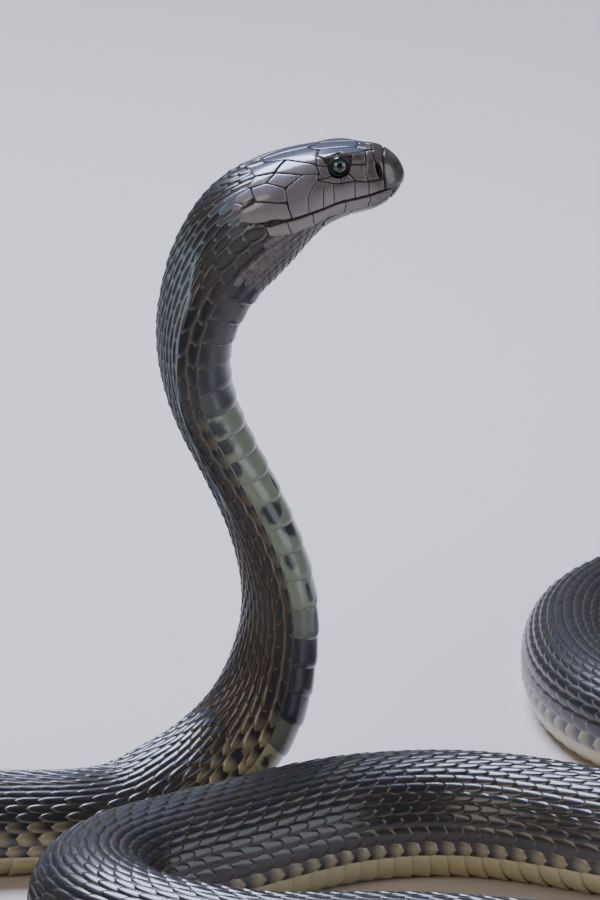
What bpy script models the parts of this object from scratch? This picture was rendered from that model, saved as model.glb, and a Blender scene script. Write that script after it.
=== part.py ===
"""An Egyptian cobra (Naja haje) at life size, head raised over its coils.

The body is one shape carried along one route, from the tip of the snout to
the tip of the tail, and parted into lengths by thin cuts between its belly
plates. All sizes are in millimetres until a mesh is made.
"""
import bmesh
import bpy
import numpy as np

MM = 0.001
GAP = 0.3                # thin cut between two lengths
PRESSED = 0.035          # share of the depth that the floor presses flat
MIDDLE = np.array([21.34, 16.34, 0.0])   # middle of the footprint, which becomes the origin
EAST, UP = np.array([1.0, 0.0, 0.0]), np.array([0.0, 0.0, 1.0])

# The route's middle line from the snout back: x, y and height.
# The raised part stands in one upright plane.
NECK_PLANE = 20.0
RAISED = [
    (28.6, 199.2), (21.2, 196.7), (14.2, 195.7), (7.2, 194.4), (0.6, 192.0),
    (-10.0, 185.1), (-20.0, 174.5), (-26.7, 161.4), (-29.6, 149.2), (-29.3, 139.8),
    (-26.7, 128.9), (-22.2, 118.2), (-14.7, 102.5), (-9.2, 88.1), (-6.5, 77.0),
    (-5.8, 65.7), (-7.3, 54.2),
]
# Where the neck comes down to the floor.
LANDING = [(-11.2, 19.2, 41.5), (-18.2, 17.0, 30.9), (-28.5, 12.6, 22.8), (-41.0, 6.0, 17.6), (-55.0, 0.0, 14.4)]
# The coils on the floor, seen from above: x and y.
COILS = [
    (-70.0, -3.6), (-87.0, -5.0), (-107.0, -10.5), (-127.0, -23.5), (-141.0, -44.5), (-146.0, -72.0),
    (-141.5, -101.0), (-127.5, -126.0), (-106.0, -143.0), (-80.0, -152.5), (-50.0, -158.0),
    (-15.0, -162.0), (20.0, -166.5), (55.0, -175.0), (83.0, -185.0),
    (108.0, -189.5), (128.0, -181.5), (136.5, -161.0), (128.0, -140.5), (107.0, -132.5),
    (84.0, -131.5), (60.0, -127.0), (37.0, -122.0), (14.0, -121.5), (-8.0, -121.0), (-26.0, -115.0),
    (-42.0, -105.0), (-53.0, -91.0), (-56.8, -74.0), (-51.5, -58.5), (-39.5, -46.0),
    (-24.0, -34.5), (-8.0, -22.0), (9.0, -11.0), (29.0, -4.5), (50.0, -4.5), (70.0, -11.0),
    (88.0, -20.0), (107.0, -27.5), (127.0, -28.5), (144.0, -19.0), (152.5, -1.0), (149.5, 20.0),
    (136.0, 40.0), (118.0, 57.0), (101.0, 74.0), (88.0, 95.0), (81.0, 120.0), (79.5, 146.0),
    (83.0, 174.0), (94.0, 200.0), (114.0, 221.0), (141.0, 230.0), (169.0, 223.0), (189.0, 202.0),
    (197.0, 174.0), (195.5, 144.0), (187.0, 115.0), (175.0, 90.0), (163.0, 68.0), (154.0, 53.0),
]

# The body's build along the route: distance from the snout, depth from back
# to belly, half width, and the share of the depth above the widest level.
BUILD = np.array([
    (0.0, 16.2, 6.6, 0.52), (7.3, 18.0, 7.9, 0.52), (14.4, 20.2, 9.7, 0.51), (21.8, 21.8, 11.8, 0.50),
    (29.0, 24.4, 14.3, 0.50), (36.0, 27.6, 15.8, 0.49), (43.0, 30.3, 15.9, 0.47), (50.0, 31.0, 14.6, 0.45),
    (57.0, 29.5, 13.4, 0.43), (64.0, 27.6, 13.1, 0.40), (71.0, 25.3, 13.6, 0.36), (79.0, 23.0, 14.8, 0.32),
    (88.0, 20.7, 15.8, 0.29), (97.0, 19.0, 15.9, 0.27), (106.0, 17.9, 15.0, 0.26), (116.0, 17.2, 13.3, 0.28),
    (128.0, 17.4, 11.7, 0.33), (142.0, 18.2, 10.7, 0.40), (158.0, 20.2, 10.8, 0.46), (174.0, 22.5, 11.8, 0.50),
    (190.0, 25.5, 13.2, 0.51), (206.0, 27.8, 14.2, 0.52), (230.0, 28.2, 14.7, 0.52), (300.0, 28.8, 15.2, 0.52),
    (450.0, 31.4, 16.6, 0.52), (650.0, 34.0, 18.0, 0.52), (900.0, 35.2, 18.6, 0.52), (1100.0, 34.2, 18.0, 0.52),
    (1250.0, 31.8, 16.7, 0.52), (1350.0, 28.8, 15.0, 0.52), (1430.0, 25.4, 13.2, 0.52), (1500.0, 21.4, 11.0, 0.51),
    (1535.0, 18.6, 9.6, 0.50), (1600.0, 14.2, 7.4, 0.50), (1660.0, 9.6, 5.0, 0.50), (1700.0, 6.2, 3.2, 0.50),
    (1722.0, 3.6, 1.9, 0.50), (1734.0, 1.6, 0.9, 0.50),
])
NOSE = 7.5               # length over which the snout rounds off above
CHIN = 11.0              # and below
BACK_POWER = 2.15        # fullness of the section above its widest level
BELLY_POWER = 2.6        # and below it, where the body is flatter
HEAD_POWER = 2.7         # the head is boxier
HEAD_END = 58.0          # where the first belly plate starts
NECK_PLATE = 7.7         # belly plates on the raised neck
TRUNK_PLATE = 13.4       # two real plates of 6.7 mm each
TAIL_PLATE = 11.0
PLATE_STEP = 0.55        # how far a plate's rear edge stands proud
PLATE_EDGE = 108.0       # degrees from the middle of the back to a plate's end
PLATE_FADE = (-12.0, 4.0)   # degrees over which a plate's lift fades in at that end
ALONG_GROUND = 262.0     # the body lies flat from here on
COMING_DOWN = 30.0       # length over which it settles there
VENT = 1500.0            # where the tail begins
HEAD_TO_BODY = (30.0, 62.0)     # where the boxy head turns into the rounder neck
LEAN = np.radians(60)    # how far "up" leans back along the raised neck
LEAN_STARTS, LEAN_ENDS = (10.0, 60.0), (190.0, 250.0)
ROUTE_STEP, CURVE_STEP = 1.0, 0.25
SHARP = np.radians(35)   # edges sharper than this stay sharp


def spline(knots, rows, at):
    """Natural cubic spline: second slopes m solve the row h0*m0 + 2(h0+h1)*m1 + h1*m2
    = 6*(change of slope), and each stretch is the cubic that has those second slopes."""
    knots, rows = np.asarray(knots, float), np.asarray(rows, float)
    step = np.diff(knots)
    slope = np.diff(rows, axis=0) / step[:, None]
    system = np.eye(len(knots))
    right = np.zeros_like(rows)
    inner = np.arange(1, len(knots) - 1)
    system[inner, inner - 1] = step[:-1]
    system[inner, inner] = 2 * (step[:-1] + step[1:])
    system[inner, inner + 1] = step[1:]
    right[1:-1] = 6 * np.diff(slope, axis=0)
    bend = np.linalg.solve(system, right)
    i = np.clip(np.searchsorted(knots, at, side="right") - 1, 0, len(step) - 1)
    h = step[i][:, None]
    a = (knots[i + 1] - at)[:, None] / h
    b = 1 - a
    return a * rows[i] + b * rows[i + 1] + ((a**3 - a) * bend[i] + (b**3 - b) * bend[i + 1]) * h**2 / 6


def unit(rows):
    return rows / np.linalg.norm(rows, axis=-1, keepdims=True)


def ease(x, low, high):
    """0 below low and 1 above high, with a smooth step 3t^2 - 2t^3 between."""
    t = np.clip((x - low) / (high - low), 0, 1)
    return t * t * (3 - 2 * t)


def build_at(s):
    """Depth, half width and share above the widest level, at distances s."""
    return spline(BUILD[:, 0], BUILD[:, 1:], s).T


def make_route():
    """Middle line at every millimetre: the points, the way forward, the right side and the back."""
    rough = [(x, NECK_PLANE, z) for x, z in RAISED] + LANDING + [(x, y, 0.0) for x, y in COILS]
    rough = np.array(rough)
    chord = np.concatenate([[0], np.cumsum(np.linalg.norm(np.diff(rough, axis=0), axis=1))])
    first_coil = len(RAISED) + len(LANDING)
    rough[first_coil:, 2] = build_at(chord[first_coil:])[0] * (0.5 - PRESSED)
    fine = np.arange(0, chord[-1], CURVE_STEP)
    line = spline(chord, rough, fine)
    length = np.concatenate([[0], np.cumsum(np.linalg.norm(np.diff(line, axis=0), axis=1))])
    s = np.arange(0.0, length[-1], ROUTE_STEP)
    points = np.column_stack([np.interp(s, length, line[:, k]) for k in range(3)])
    flat = build_at(s)[0] * (0.5 - PRESSED)
    lying = ease(s, ALONG_GROUND - COMING_DOWN, ALONG_GROUND)
    points[:, 2] = points[:, 2] * (1 - lying) + flat * lying
    forward = -unit(np.gradient(points, axis=0))
    lean = LEAN * ease(s, *LEAN_STARTS) * (1 - ease(s, *LEAN_ENDS))
    upward = np.outer(np.cos(lean), UP) - np.outer(np.sin(lean), EAST)
    right = unit(np.cross(forward, upward))
    back = np.cross(right, forward)
    return s, points, forward, right, back


ROUTE = make_route()
LENGTH = ROUTE[0][-1]


def frame_at(s):
    """Point, right side and back of the route at distances s."""
    station = ROUTE[0]
    read = [np.column_stack([np.interp(s, station, rows[:, k]) for k in range(3)]) for rows in ROUTE[1:]]
    return read[0], unit(read[2]), unit(read[3])


def skin(s, angle, proud=0.0, inset=0.0):
    """Points of the skin: half width times sin(angle) and half depth times cos(angle), each
    raised to 2/power, on the section across the route. proud lifts the belly plates."""
    s, angle = np.broadcast_arrays(np.asarray(s, float), angle)
    flat_s = s.ravel()
    depth, half, share = (v.reshape(s.shape) for v in build_at(flat_s))
    sine, cosine = np.sin(angle), np.cos(angle)
    rounding = np.where(cosine > 0, NOSE, CHIN)
    nose = np.sqrt(1 - (1 - np.clip(s / rounding, 0, 1)) ** 2)
    wide = np.sqrt(1 - (1 - np.clip(s / NOSE, 0, 1)) ** 2)
    boxy = 1 - ease(s, *HEAD_TO_BODY)
    power = np.where(cosine > 0, BACK_POWER, BELLY_POWER) * (1 - boxy) + HEAD_POWER * boxy
    across = np.sign(sine) * np.abs(sine) ** (2 / power)
    along = np.sign(cosine) * np.abs(cosine) ** (2 / power)
    low, high = (PLATE_EDGE + fade for fade in PLATE_FADE)
    lift = proud * ease(np.degrees(np.abs(angle)), low, high) - inset
    tall = np.where(cosine > 0, share, 1 - share) * depth
    sideways = (half * wide + lift) * across
    upwards = (tall * nose + lift) * along + depth * (0.5 - share)
    place, right, back = (v.reshape(s.shape + (3,)) for v in frame_at(flat_s))
    points = place + right * sideways[..., None] + back * upwards[..., None]
    points[..., 2] = np.maximum(points[..., 2], 0.0)
    return points


def placed(points):
    """Points in metres, with the origin on the floor in the middle of the footprint."""
    return (np.asarray(points, float) - MIDDLE) * MM


def ring_angles(count):
    """Angles round a section, from the middle of the back, right side first."""
    return np.arange(count) * 2 * np.pi / count - np.pi


def loft(name, rings, tips=(None, None)):
    """Closed mesh through rings of points. An end closes on the middle of its ring or on a given tip."""
    count, around = rings.shape[:2]
    first = rings[0].mean(axis=0) if tips[0] is None else tips[0]
    last = rings[-1].mean(axis=0) if tips[1] is None else tips[1]
    points = placed(np.vstack([rings.reshape(-1, 3), first, last]))
    near, far = count * around, count * around + 1
    j = np.arange(around)
    k = (j + 1) % around
    faces = []
    for i in range(count - 1):
        a, b, c, d = i * around + j, i * around + k, (i + 1) * around + k, (i + 1) * around + j
        faces += np.column_stack([a, d, c]).tolist() + np.column_stack([a, c, b]).tolist()
    faces += np.column_stack([np.full(around, near), j, k]).tolist()
    top = (count - 1) * around
    faces += np.column_stack([np.full(around, far), top + k, top + j]).tolist()
    mesh = bpy.data.meshes.new(name)
    mesh.from_pydata(points.tolist(), [], faces)
    shape = bmesh.new()
    shape.from_mesh(mesh)
    bmesh.ops.recalc_face_normals(shape, faces=shape.faces)
    shape.to_mesh(mesh)
    shape.free()
    mesh.shade_smooth()
    mesh.set_sharp_from_angle(angle=SHARP)
    return bpy.data.objects.new(name, mesh)


def material(name, colour, roughness):
    """Principled finish of one kind of skin."""
    made = bpy.data.materials.new(name)
    made.use_nodes = True
    shader = made.node_tree.nodes["Principled BSDF"]
    shader.inputs["Base Color"].default_value = (*colour, 1)
    shader.inputs["Roughness"].default_value = roughness
    shader.inputs["Metallic"].default_value = 0.0
    return made


def slab(name, outline, near, far):
    """Upright slab over an outline of x and height, between two depths y: a cutter."""
    outline = np.asarray(outline, float)
    count = len(outline)
    faces = [list(range(count)), list(range(2 * count - 1, count - 1, -1))]
    faces += [[i, i + count, (i + 1) % count + count, (i + 1) % count] for i in range(count)]
    points = placed([(x, y, z) for y in (near, far) for x, z in outline]).tolist()
    mesh = bpy.data.meshes.new(name)
    mesh.from_pydata(points, [], faces)
    shape = bmesh.new()
    shape.from_mesh(mesh)
    bmesh.ops.recalc_face_normals(shape, faces=shape.faces)
    shape.to_mesh(mesh)
    shape.free()
    return bpy.data.objects.new(name, mesh)


def ball(name, centre, radii, rings):
    """Ball, or egg with three half sizes, round a centre."""
    shape = bmesh.new()
    bmesh.ops.create_uvsphere(shape, u_segments=2 * rings, v_segments=rings, radius=MM)
    bmesh.ops.scale(shape, verts=shape.verts, vec=radii)
    bmesh.ops.translate(shape, verts=shape.verts, vec=placed(centre))
    mesh = bpy.data.meshes.new(name)
    shape.to_mesh(mesh)
    shape.free()
    mesh.shade_smooth()
    return bpy.data.objects.new(name, mesh)


def carve(target, tools, operation):
    """Apply one Boolean of all the tools to the target, then remove the tools."""
    scene = bpy.context.scene.collection
    group = bpy.data.collections.new("tools")
    scene.children.link(group)
    scene.objects.link(target)
    for tool in tools:
        group.objects.link(tool)
    cut = target.modifiers.new("cut", "BOOLEAN")
    cut.operand_type = "COLLECTION"
    cut.collection = group
    cut.operation = operation
    cut.solver = "EXACT"
    depsgraph = bpy.context.evaluated_depsgraph_get()
    mesh = bpy.data.meshes.new_from_object(target.evaluated_get(depsgraph))
    target.modifiers.clear()
    target.data = mesh
    scene.objects.unlink(target)
    for tool in tools:
        bpy.data.objects.remove(tool)
    bpy.data.collections.remove(group)


def largest_surface(thing):
    """Keep only the largest closed surface of a mesh, which drops loose scraps."""
    shape = bmesh.new()
    shape.from_mesh(thing.data)
    left, groups = set(shape.verts), []
    while left:
        group, edge = set(), [left.pop()]
        while edge:
            corner = edge.pop()
            group.add(corner)
            near = {e.other_vert(corner) for e in corner.link_edges} & left
            left -= near
            edge += near
        groups.append(group)
    keep = max(groups, key=len)
    bmesh.ops.delete(shape, geom=[v for group in groups if group is not keep for v in group], context="VERTS")
    shape.to_mesh(thing.data)
    shape.free()


# The head.
HEAD_AROUND = 36
MOUTH = [  # the line of the mouth, x and height, from the lip's front to its corner
    (34.0, 194.9), (26.0, 194.3), (22.6, 193.8), (19.2, 192.8), (15.3, 192.1), (12.0, 191.7),
    (9.2, 190.9), (6.2, 189.9), (3.0, 189.2), (-1.2, 188.2), (-8.3, 187.1), (-12.7, 186.6), (-17.0, 187.0),
]
JAW_BACK = [(-4.4, 169.3), (4.0, 157.5)]   # the cut behind the jaw goes down through these
LIP = 0.5                        # the lower jaw lies this far inside the upper lip
EYE_PLACE = (10.7, 201.5)        # x and height of the eye
EYE_RADIUS = 2.9
EYE_SIDE = 7.1                   # from the middle of the head to the eyeball's middle
FORMS = [  # height, distance and degrees of its middle, and spread in mm and degrees
    (1.0, 17.0, 37.0, 5.5, 11.0),      # brow over the eye
    (-0.5, 11.5, 64.0, 3.0, 14.0),     # hollow in front of it
    (0.5, 36.0, 72.0, 7.0, 18.0),      # cheek
]
NOSTRIL_PLACE = (22.2, 200.7)
NOSTRIL_SIDE = 7.6
NOSTRIL_SIZE = (1.0, 1.5, 1.8)   # half length, depth and half height of the pit
NOSTRIL_RINGS, EYE_RINGS = 6, 8
SNOUT_START, SNOUT_RINGS = 0.12, 9   # first ring, as a share of the quarter circle, and their number
HEAD_RING = 1.7                  # between rings behind the snout
UNDER_CHIN = (34.0, 150.0)       # x and height of the cutters' far lower corner
CUT_DEPTHS = (-20.0, 80.0)       # the cutters reach past both sides of the head


def head_stations():
    """Distances from the snout, closer at the tip: quarter circle, then even steps."""
    turn = np.linspace(SNOUT_START, 1, SNOUT_RINGS) * np.pi / 2
    even = np.arange(NOSE + HEAD_RING, HEAD_END - HEAD_RING / 2, HEAD_RING)
    return np.concatenate([NOSE * (1 - np.cos(turn)), even, [HEAD_END - GAP / 2]])


def head_forms(s, angle):
    """Height of brow, hollow and cheek: each is a hill, e to the minus square of distance over spread."""
    degrees = np.abs(np.degrees(angle))
    hills = [h * np.exp(-((s - s0) / ds) ** 2 - ((degrees - a0) / da) ** 2) for h, s0, a0, ds, da in FORMS]
    return sum(hills)


def whole_head(name, inset):
    s, angles = np.broadcast_arrays(head_stations()[:, None], ring_angles(HEAD_AROUND)[None, :])
    rings = skin(s, angles, inset=inset - head_forms(s, angles))
    tip = frame_at(np.array([0.0]))[0][0]
    return loft(name, rings, (tip, None))


# Corners of the head's shields: distance from the snout and degrees from the middle of the crown.
FRONTAL = [(11.6, 0), (12.4, 12), (17.0, 13), (21.2, 11), (23.6, 0)]   # its right half
SIDE_SHIELDS = {
    "internasal": [(3.6, 0), (6.4, 0), (6.9, 20), (3.8, 13)],
    "prefrontal": [(6.4, 0), (11.6, 0), (12.4, 12), (9.1, 23), (6.9, 20)],
    "supraocular": [(12.4, 12.5), (17.0, 13.5), (21.3, 11.5), (22.0, 26), (20.6, 40), (14.0, 40), (9.1, 24)],
    "parietal": [(23.6, 0), (21.4, 11.5), (22.4, 46), (25.6, 33), (28.8, 17), (34.2, 0)],
    "front_temporal": [(22.5, 48), (28.8, 18.5), (31.6, 37), (26.1, 57), (22.3, 63)],
    "middle_temporal": [(31.6, 39), (26.2, 58), (30.9, 66), (34.3, 48)],
    "upper_temporal": [(28.9, 17), (33.6, 7), (37.0, 8), (36.5, 28), (31.8, 36)],
    "lower_temporal": [(30.9, 67), (34.4, 49), (38.6, 60), (34.0, 79), (32.0, 82)],
    "nasal": [(3.9, 14), (9.0, 24), (10.3, 77), (9.8, 87), (5.6, 87), (4.6, 60)],
    "preocular": [(13.7, 39), (9.3, 25), (10.3, 76), (13.3, 83), (15.0, 72)],
    "postocular": [(20.4, 41), (22.1, 31), (22.1, 63), (20.9, 72), (19.4, 71)],
    "lip_2": [(5.6, 88), (9.8, 87.5), (10.5, 112), (6.2, 112)],
    "lip_3": [(9.8, 87.5), (13.6, 84), (14.3, 112), (10.5, 112)],
    "lip_4": [(13.6, 84), (19.3, 82), (20.8, 112), (14.3, 112)],
    "lip_5": [(19.3, 82), (23.1, 72), (27.3, 90), (29.0, 108), (20.8, 112)],
    "lip_6": [(25.9, 57.5), (22.3, 64), (27.3, 90), (29.0, 108), (33.5, 101), (31.0, 68)],
    "lip_7": [(34.1, 80), (38.6, 66), (43.3, 64), (45.4, 73), (43.5, 90), (33.6, 101)],
}
SHIELD_PROUD = 0.35              # a shield's face stands this far out
SHIELD_ROOT = 0.9                # and its root this deep in the head
SHIELD_SEAM = 0.2                # half the seam's width at the foot, and how far the face draws in
LONG_EDGE = 5.0                  # a longer edge gets a point in its middle


def shield(name, corners):
    """Raised plate over an outline on the skin: every point moves to the middle by a seam's width."""
    corners = np.asarray(corners, float)
    degree = build_at(corners[:1, 0])[1][0] * np.radians(1)
    plane = corners * [1.0, degree]
    edge = []
    for near, far in zip(plane, np.roll(plane, -1, axis=0)):
        edge.append(near)
        if np.linalg.norm(far - near) > LONG_EDGE:
            edge.append((near + far) / 2)
    edge = np.array(edge)
    middle = edge.mean(axis=0)
    reach = np.linalg.norm(edge - middle, axis=1, keepdims=True)
    rings, levels = [], ((SHIELD_SEAM, -SHIELD_ROOT), (2 * SHIELD_SEAM, SHIELD_PROUD))
    for seam, height in levels:
        s, degrees = (middle + (edge - middle) * (1 - seam / reach)).T / np.array([[1.0], [degree]])
        rings.append(skin(s, np.radians(degrees), inset=-height - head_forms(s, np.radians(degrees))))
    at, turn = middle[:1], np.radians(middle[1:] / degree)
    tips = [skin(at, turn, inset=-height - head_forms(at, turn))[0] for _, height in levels]
    return loft(name, np.array(rings), tips)


def build_shields():
    """The frontal shield and the others of both sides."""
    made = [shield("frontal", FRONTAL + [(s, -a) for s, a in FRONTAL[-2:0:-1]])]
    for name, corners in SIDE_SHIELDS.items():
        made.append(shield(name + "_right", corners))
        made.append(shield(name + "_left", [(s, -a) for s, a in reversed(corners)]))
    return made


def build_head():
    below = MOUTH + JAW_BACK + [UNDER_CHIN]
    lower = [(x, z - GAP) for x, z in MOUTH[:-1]]
    lower += [(x + GAP, z - GAP) for x, z in MOUTH[-1:] + JAW_BACK] + [UNDER_CHIN]
    head = whole_head("head", 0.0)
    carve(head, build_shields(), "UNION")
    carve(head, [slab("mouth_cut", below, *CUT_DEPTHS)], "DIFFERENCE")
    jaw = whole_head("lower_jaw", LIP)
    carve(jaw, [slab("jaw_cut", lower, *CUT_DEPTHS)], "INTERSECT")
    eyes = []
    for name, side in (("eye_right", -1), ("eye_left", 1)):
        nostril = (NOSTRIL_PLACE[0], NECK_PLANE + side * NOSTRIL_SIDE, NOSTRIL_PLACE[1])
        centre = (EYE_PLACE[0], NECK_PLANE + side * EYE_SIDE, EYE_PLACE[1])
        pits = [ball("nostril", nostril, NOSTRIL_SIZE, NOSTRIL_RINGS)]
        pits.append(ball("socket", centre, [EYE_RADIUS + GAP] * 3, EYE_RINGS))
        carve(head, pits, "DIFFERENCE")
        eyes.append(ball(name, centre, [EYE_RADIUS] * 3, EYE_RINGS))
    largest_surface(head)
    largest_surface(jaw)
    return [head, jaw] + eyes


# The body's lengths.
NECK_AROUND = 24
TRUNK_AROUND = 18
HOOD_END, NECK_END = 125.0, 235.0   # the nodes' names change here
PLATES_GROW = 232.0              # a trunk plate stands for two real ones from here on
TAIL_TIP = 6.0                   # the last plate ends within this of the tip
MOST_TURN = np.radians(70)
MOST_LENGTH = 112.0
FEWEST_PLATES = 3


def plate_edges():
    """Distances of the belly plates' edges, from the head to the tail's tip."""
    edges = [HEAD_END]
    while edges[-1] < LENGTH - TAIL_TIP:
        s = edges[-1]
        size = NECK_PLATE if s < PLATES_GROW else TRUNK_PLATE if s < VENT else TAIL_PLATE
        edges.append(s + size)
    edges[-1] = LENGTH - ROUTE_STEP
    return np.array(edges)


def lengths():
    """Groups of plates: a new length starts where the last has turned or run far enough."""
    edges = plate_edges()
    station, _, forward = ROUTE[:3]
    turning = np.concatenate([[0], np.cumsum(np.arccos(np.clip((forward[1:] * forward[:-1]).sum(axis=1), -1, 1)))])
    at_edge = np.interp(edges, station, turning)
    groups, start = [], 0
    for i in range(1, len(edges)):
        if i + 1 == len(edges):
            groups.append(edges[start:])
            break
        too_long = at_edge[i + 1] - at_edge[start] > MOST_TURN or edges[i + 1] - edges[start] > MOST_LENGTH
        if too_long and i + FEWEST_PLATES < len(edges):
            groups.append(edges[start:i + 1])
            start = i
    return groups


def body_length(name, edges):
    """One length: each belly plate is two rings, level at its front and proud at its rear edge."""
    around = NECK_AROUND if edges[0] < PLATES_GROW else TRUNK_AROUND
    angles = ring_angles(around)
    rings = []
    for front, rear in zip(edges[:-1], edges[1:]):
        rings.append(skin(np.full(around, front + GAP / 2), angles))
        rings.append(skin(np.full(around, rear - GAP / 2), angles, proud=PLATE_STEP))
    return loft(name, np.array(rings))


def main():
    for old in list(bpy.data.objects):
        bpy.data.objects.remove(old)
    collection = bpy.data.collections.new("egyptian_cobra")
    bpy.context.scene.collection.children.link(collection)
    back = material("scaled_skin", (0.035, 0.037, 0.040), 0.32)
    face = material("head_shields", (0.16, 0.15, 0.17), 0.30)
    eye = material("eye_cap", (0.01, 0.03, 0.035), 0.05)
    pieces = build_head()
    for piece, finish in zip(pieces, (face, face, eye, eye)):
        piece.data.materials.clear()
        piece.data.materials.append(finish)
    counts = {"hood": 0, "neck": 0, "trunk": 0, "tail": 0}
    for edges in lengths():
        middle = edges.mean()
        kind = "hood" if middle < HOOD_END else "neck" if middle < NECK_END else "trunk" if middle < VENT else "tail"
        counts[kind] += 1
        piece = body_length(f"{kind}_{counts[kind]:02d}", edges)
        piece.data.materials.append(back)
        pieces.append(piece)
    for piece in pieces:
        collection.objects.link(piece)


main()
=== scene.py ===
# %% [markdown]
# # An Egyptian cobra with its head raised
# The snake is one long skin with three kinds of horny cover on it: large shields on
# the head, small smooth scales on the back and sides, and wide plates under the belly.
# The lesson makes the bare skin first and then lays the three on it. All are built on
# one mathematical surface, so that every scale can be placed by two numbers: how far
# back from the snout it is, and how far round the body.

import bpy
import numpy as np
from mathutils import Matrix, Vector


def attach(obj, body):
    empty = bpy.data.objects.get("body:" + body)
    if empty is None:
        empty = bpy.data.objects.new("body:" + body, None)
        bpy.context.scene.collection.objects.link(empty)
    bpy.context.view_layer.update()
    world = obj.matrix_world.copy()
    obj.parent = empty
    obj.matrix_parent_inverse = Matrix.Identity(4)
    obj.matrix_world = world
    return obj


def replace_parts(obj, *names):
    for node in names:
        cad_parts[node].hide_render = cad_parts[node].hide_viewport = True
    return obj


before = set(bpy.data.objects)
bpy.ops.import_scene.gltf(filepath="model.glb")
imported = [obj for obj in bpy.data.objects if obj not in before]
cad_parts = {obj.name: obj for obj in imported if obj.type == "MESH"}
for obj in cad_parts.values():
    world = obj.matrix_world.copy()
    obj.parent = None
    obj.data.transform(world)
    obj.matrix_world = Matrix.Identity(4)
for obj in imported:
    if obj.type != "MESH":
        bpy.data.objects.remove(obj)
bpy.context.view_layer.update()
print("nodes in the frame:", len(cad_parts))

# %% [markdown]
# ## The route and the section
# A snake can be described by a middle line and a section that changes along it. The
# middle line is a smooth curve through chosen points. The section is two half
# ovals that meet at the widest level, fuller than a circle. Sizes are in
# millimetres here and become metres when a mesh is made.

# %% Driving dimensions of the body
MM = 0.001
PRESSED = 0.035                          # share of the depth that the floor presses flat
MIDDLE = np.array([21.34, 16.34, 0.0])   # middle of the footprint, which is the origin
EAST, UP = np.array([1.0, 0.0, 0.0]), np.array([0.0, 0.0, 1.0])
NECK_PLANE = 20.0                        # the raised part stands in this upright plane
RAISED = [  # x and height of the raised part
    (28.6, 199.2), (21.2, 196.7), (14.2, 195.7), (7.2, 194.4), (0.6, 192.0),
    (-10.0, 185.1), (-20.0, 174.5), (-26.7, 161.4), (-29.6, 149.2), (-29.3, 139.8),
    (-26.7, 128.9), (-22.2, 118.2), (-14.7, 102.5), (-9.2, 88.1), (-6.5, 77.0),
    (-5.8, 65.7), (-7.3, 54.2),
]
LANDING = [  # x, y and height where the neck comes down and turns aside
    (-11.2, 19.2, 41.5), (-18.2, 17.0, 30.9), (-28.5, 12.6, 22.8), (-41.0, 6.0, 17.6), (-55.0, 0.0, 14.4),
]
COILS = [  # x and y of the part that lies on the floor
    (-70.0, -3.6), (-87.0, -5.0), (-107.0, -10.5), (-127.0, -23.5), (-141.0, -44.5), (-146.0, -72.0),
    (-141.5, -101.0), (-127.5, -126.0), (-106.0, -143.0), (-80.0, -152.5), (-50.0, -158.0),
    (-15.0, -162.0), (20.0, -166.5), (55.0, -175.0), (83.0, -185.0),
    (108.0, -189.5), (128.0, -181.5), (136.5, -161.0), (128.0, -140.5), (107.0, -132.5),
    (84.0, -131.5), (60.0, -127.0), (37.0, -122.0), (14.0, -121.5), (-8.0, -121.0), (-26.0, -115.0),
    (-42.0, -105.0), (-53.0, -91.0), (-56.8, -74.0), (-51.5, -58.5), (-39.5, -46.0),
    (-24.0, -34.5), (-8.0, -22.0), (9.0, -11.0), (29.0, -4.5), (50.0, -4.5), (70.0, -11.0),
    (88.0, -20.0), (107.0, -27.5), (127.0, -28.5), (144.0, -19.0), (152.5, -1.0), (149.5, 20.0),
    (136.0, 40.0), (118.0, 57.0), (101.0, 74.0), (88.0, 95.0), (81.0, 120.0), (79.5, 146.0),
    (83.0, 174.0), (94.0, 200.0), (114.0, 221.0), (141.0, 230.0), (169.0, 223.0), (189.0, 202.0),
    (197.0, 174.0), (195.5, 144.0), (187.0, 115.0), (175.0, 90.0), (163.0, 68.0), (154.0, 53.0),
]
# Distance from the snout, depth, half width, share of the depth above the widest level.
BUILD = np.array([
    (0, 16.2, 6.6, 0.52), (7.3, 18.0, 7.9, 0.52), (14.4, 20.2, 9.7, 0.51), (21.8, 21.8, 11.8, 0.50),
    (29, 24.4, 14.3, 0.50), (36, 27.6, 15.8, 0.49), (43, 30.3, 15.9, 0.47), (50, 31.0, 14.6, 0.45),
    (57, 29.5, 13.4, 0.43), (64, 27.6, 13.1, 0.40), (71, 25.3, 13.6, 0.36), (79, 23.0, 14.8, 0.32),
    (88, 20.7, 15.8, 0.29), (97, 19.0, 15.9, 0.27), (106, 17.9, 15.0, 0.26), (116, 17.2, 13.3, 0.28),
    (128, 17.4, 11.7, 0.33), (142, 18.2, 10.7, 0.40), (158, 20.2, 10.8, 0.46), (174, 22.5, 11.8, 0.50),
    (190, 25.5, 13.2, 0.51), (206, 27.8, 14.2, 0.52), (230, 28.2, 14.7, 0.52), (300, 28.8, 15.2, 0.52),
    (450, 31.4, 16.6, 0.52), (650, 34.0, 18.0, 0.52), (900, 35.2, 18.6, 0.52), (1100, 34.2, 18.0, 0.52),
    (1250, 31.8, 16.7, 0.52), (1350, 28.8, 15.0, 0.52), (1430, 25.4, 13.2, 0.52), (1500, 21.4, 11.0, 0.51),
    (1535, 18.6, 9.6, 0.50), (1600, 14.2, 7.4, 0.50), (1660, 9.6, 5.0, 0.50), (1700, 6.2, 3.2, 0.50),
    (1722, 3.6, 1.9, 0.50), (1734, 1.6, 0.9, 0.50),
])
NOSE, CHIN = 7.5, 11.0                   # lengths over which the snout rounds off, above and below
BACK_POWER, BELLY_POWER, HEAD_POWER = 2.15, 2.6, 2.7  # 2 is an oval, and more is fuller
HEAD_TO_BODY = (30.0, 62.0)              # the head's section turns into the body's between these
HEAD_END = 58.0                          # the first belly plate starts here
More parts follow.
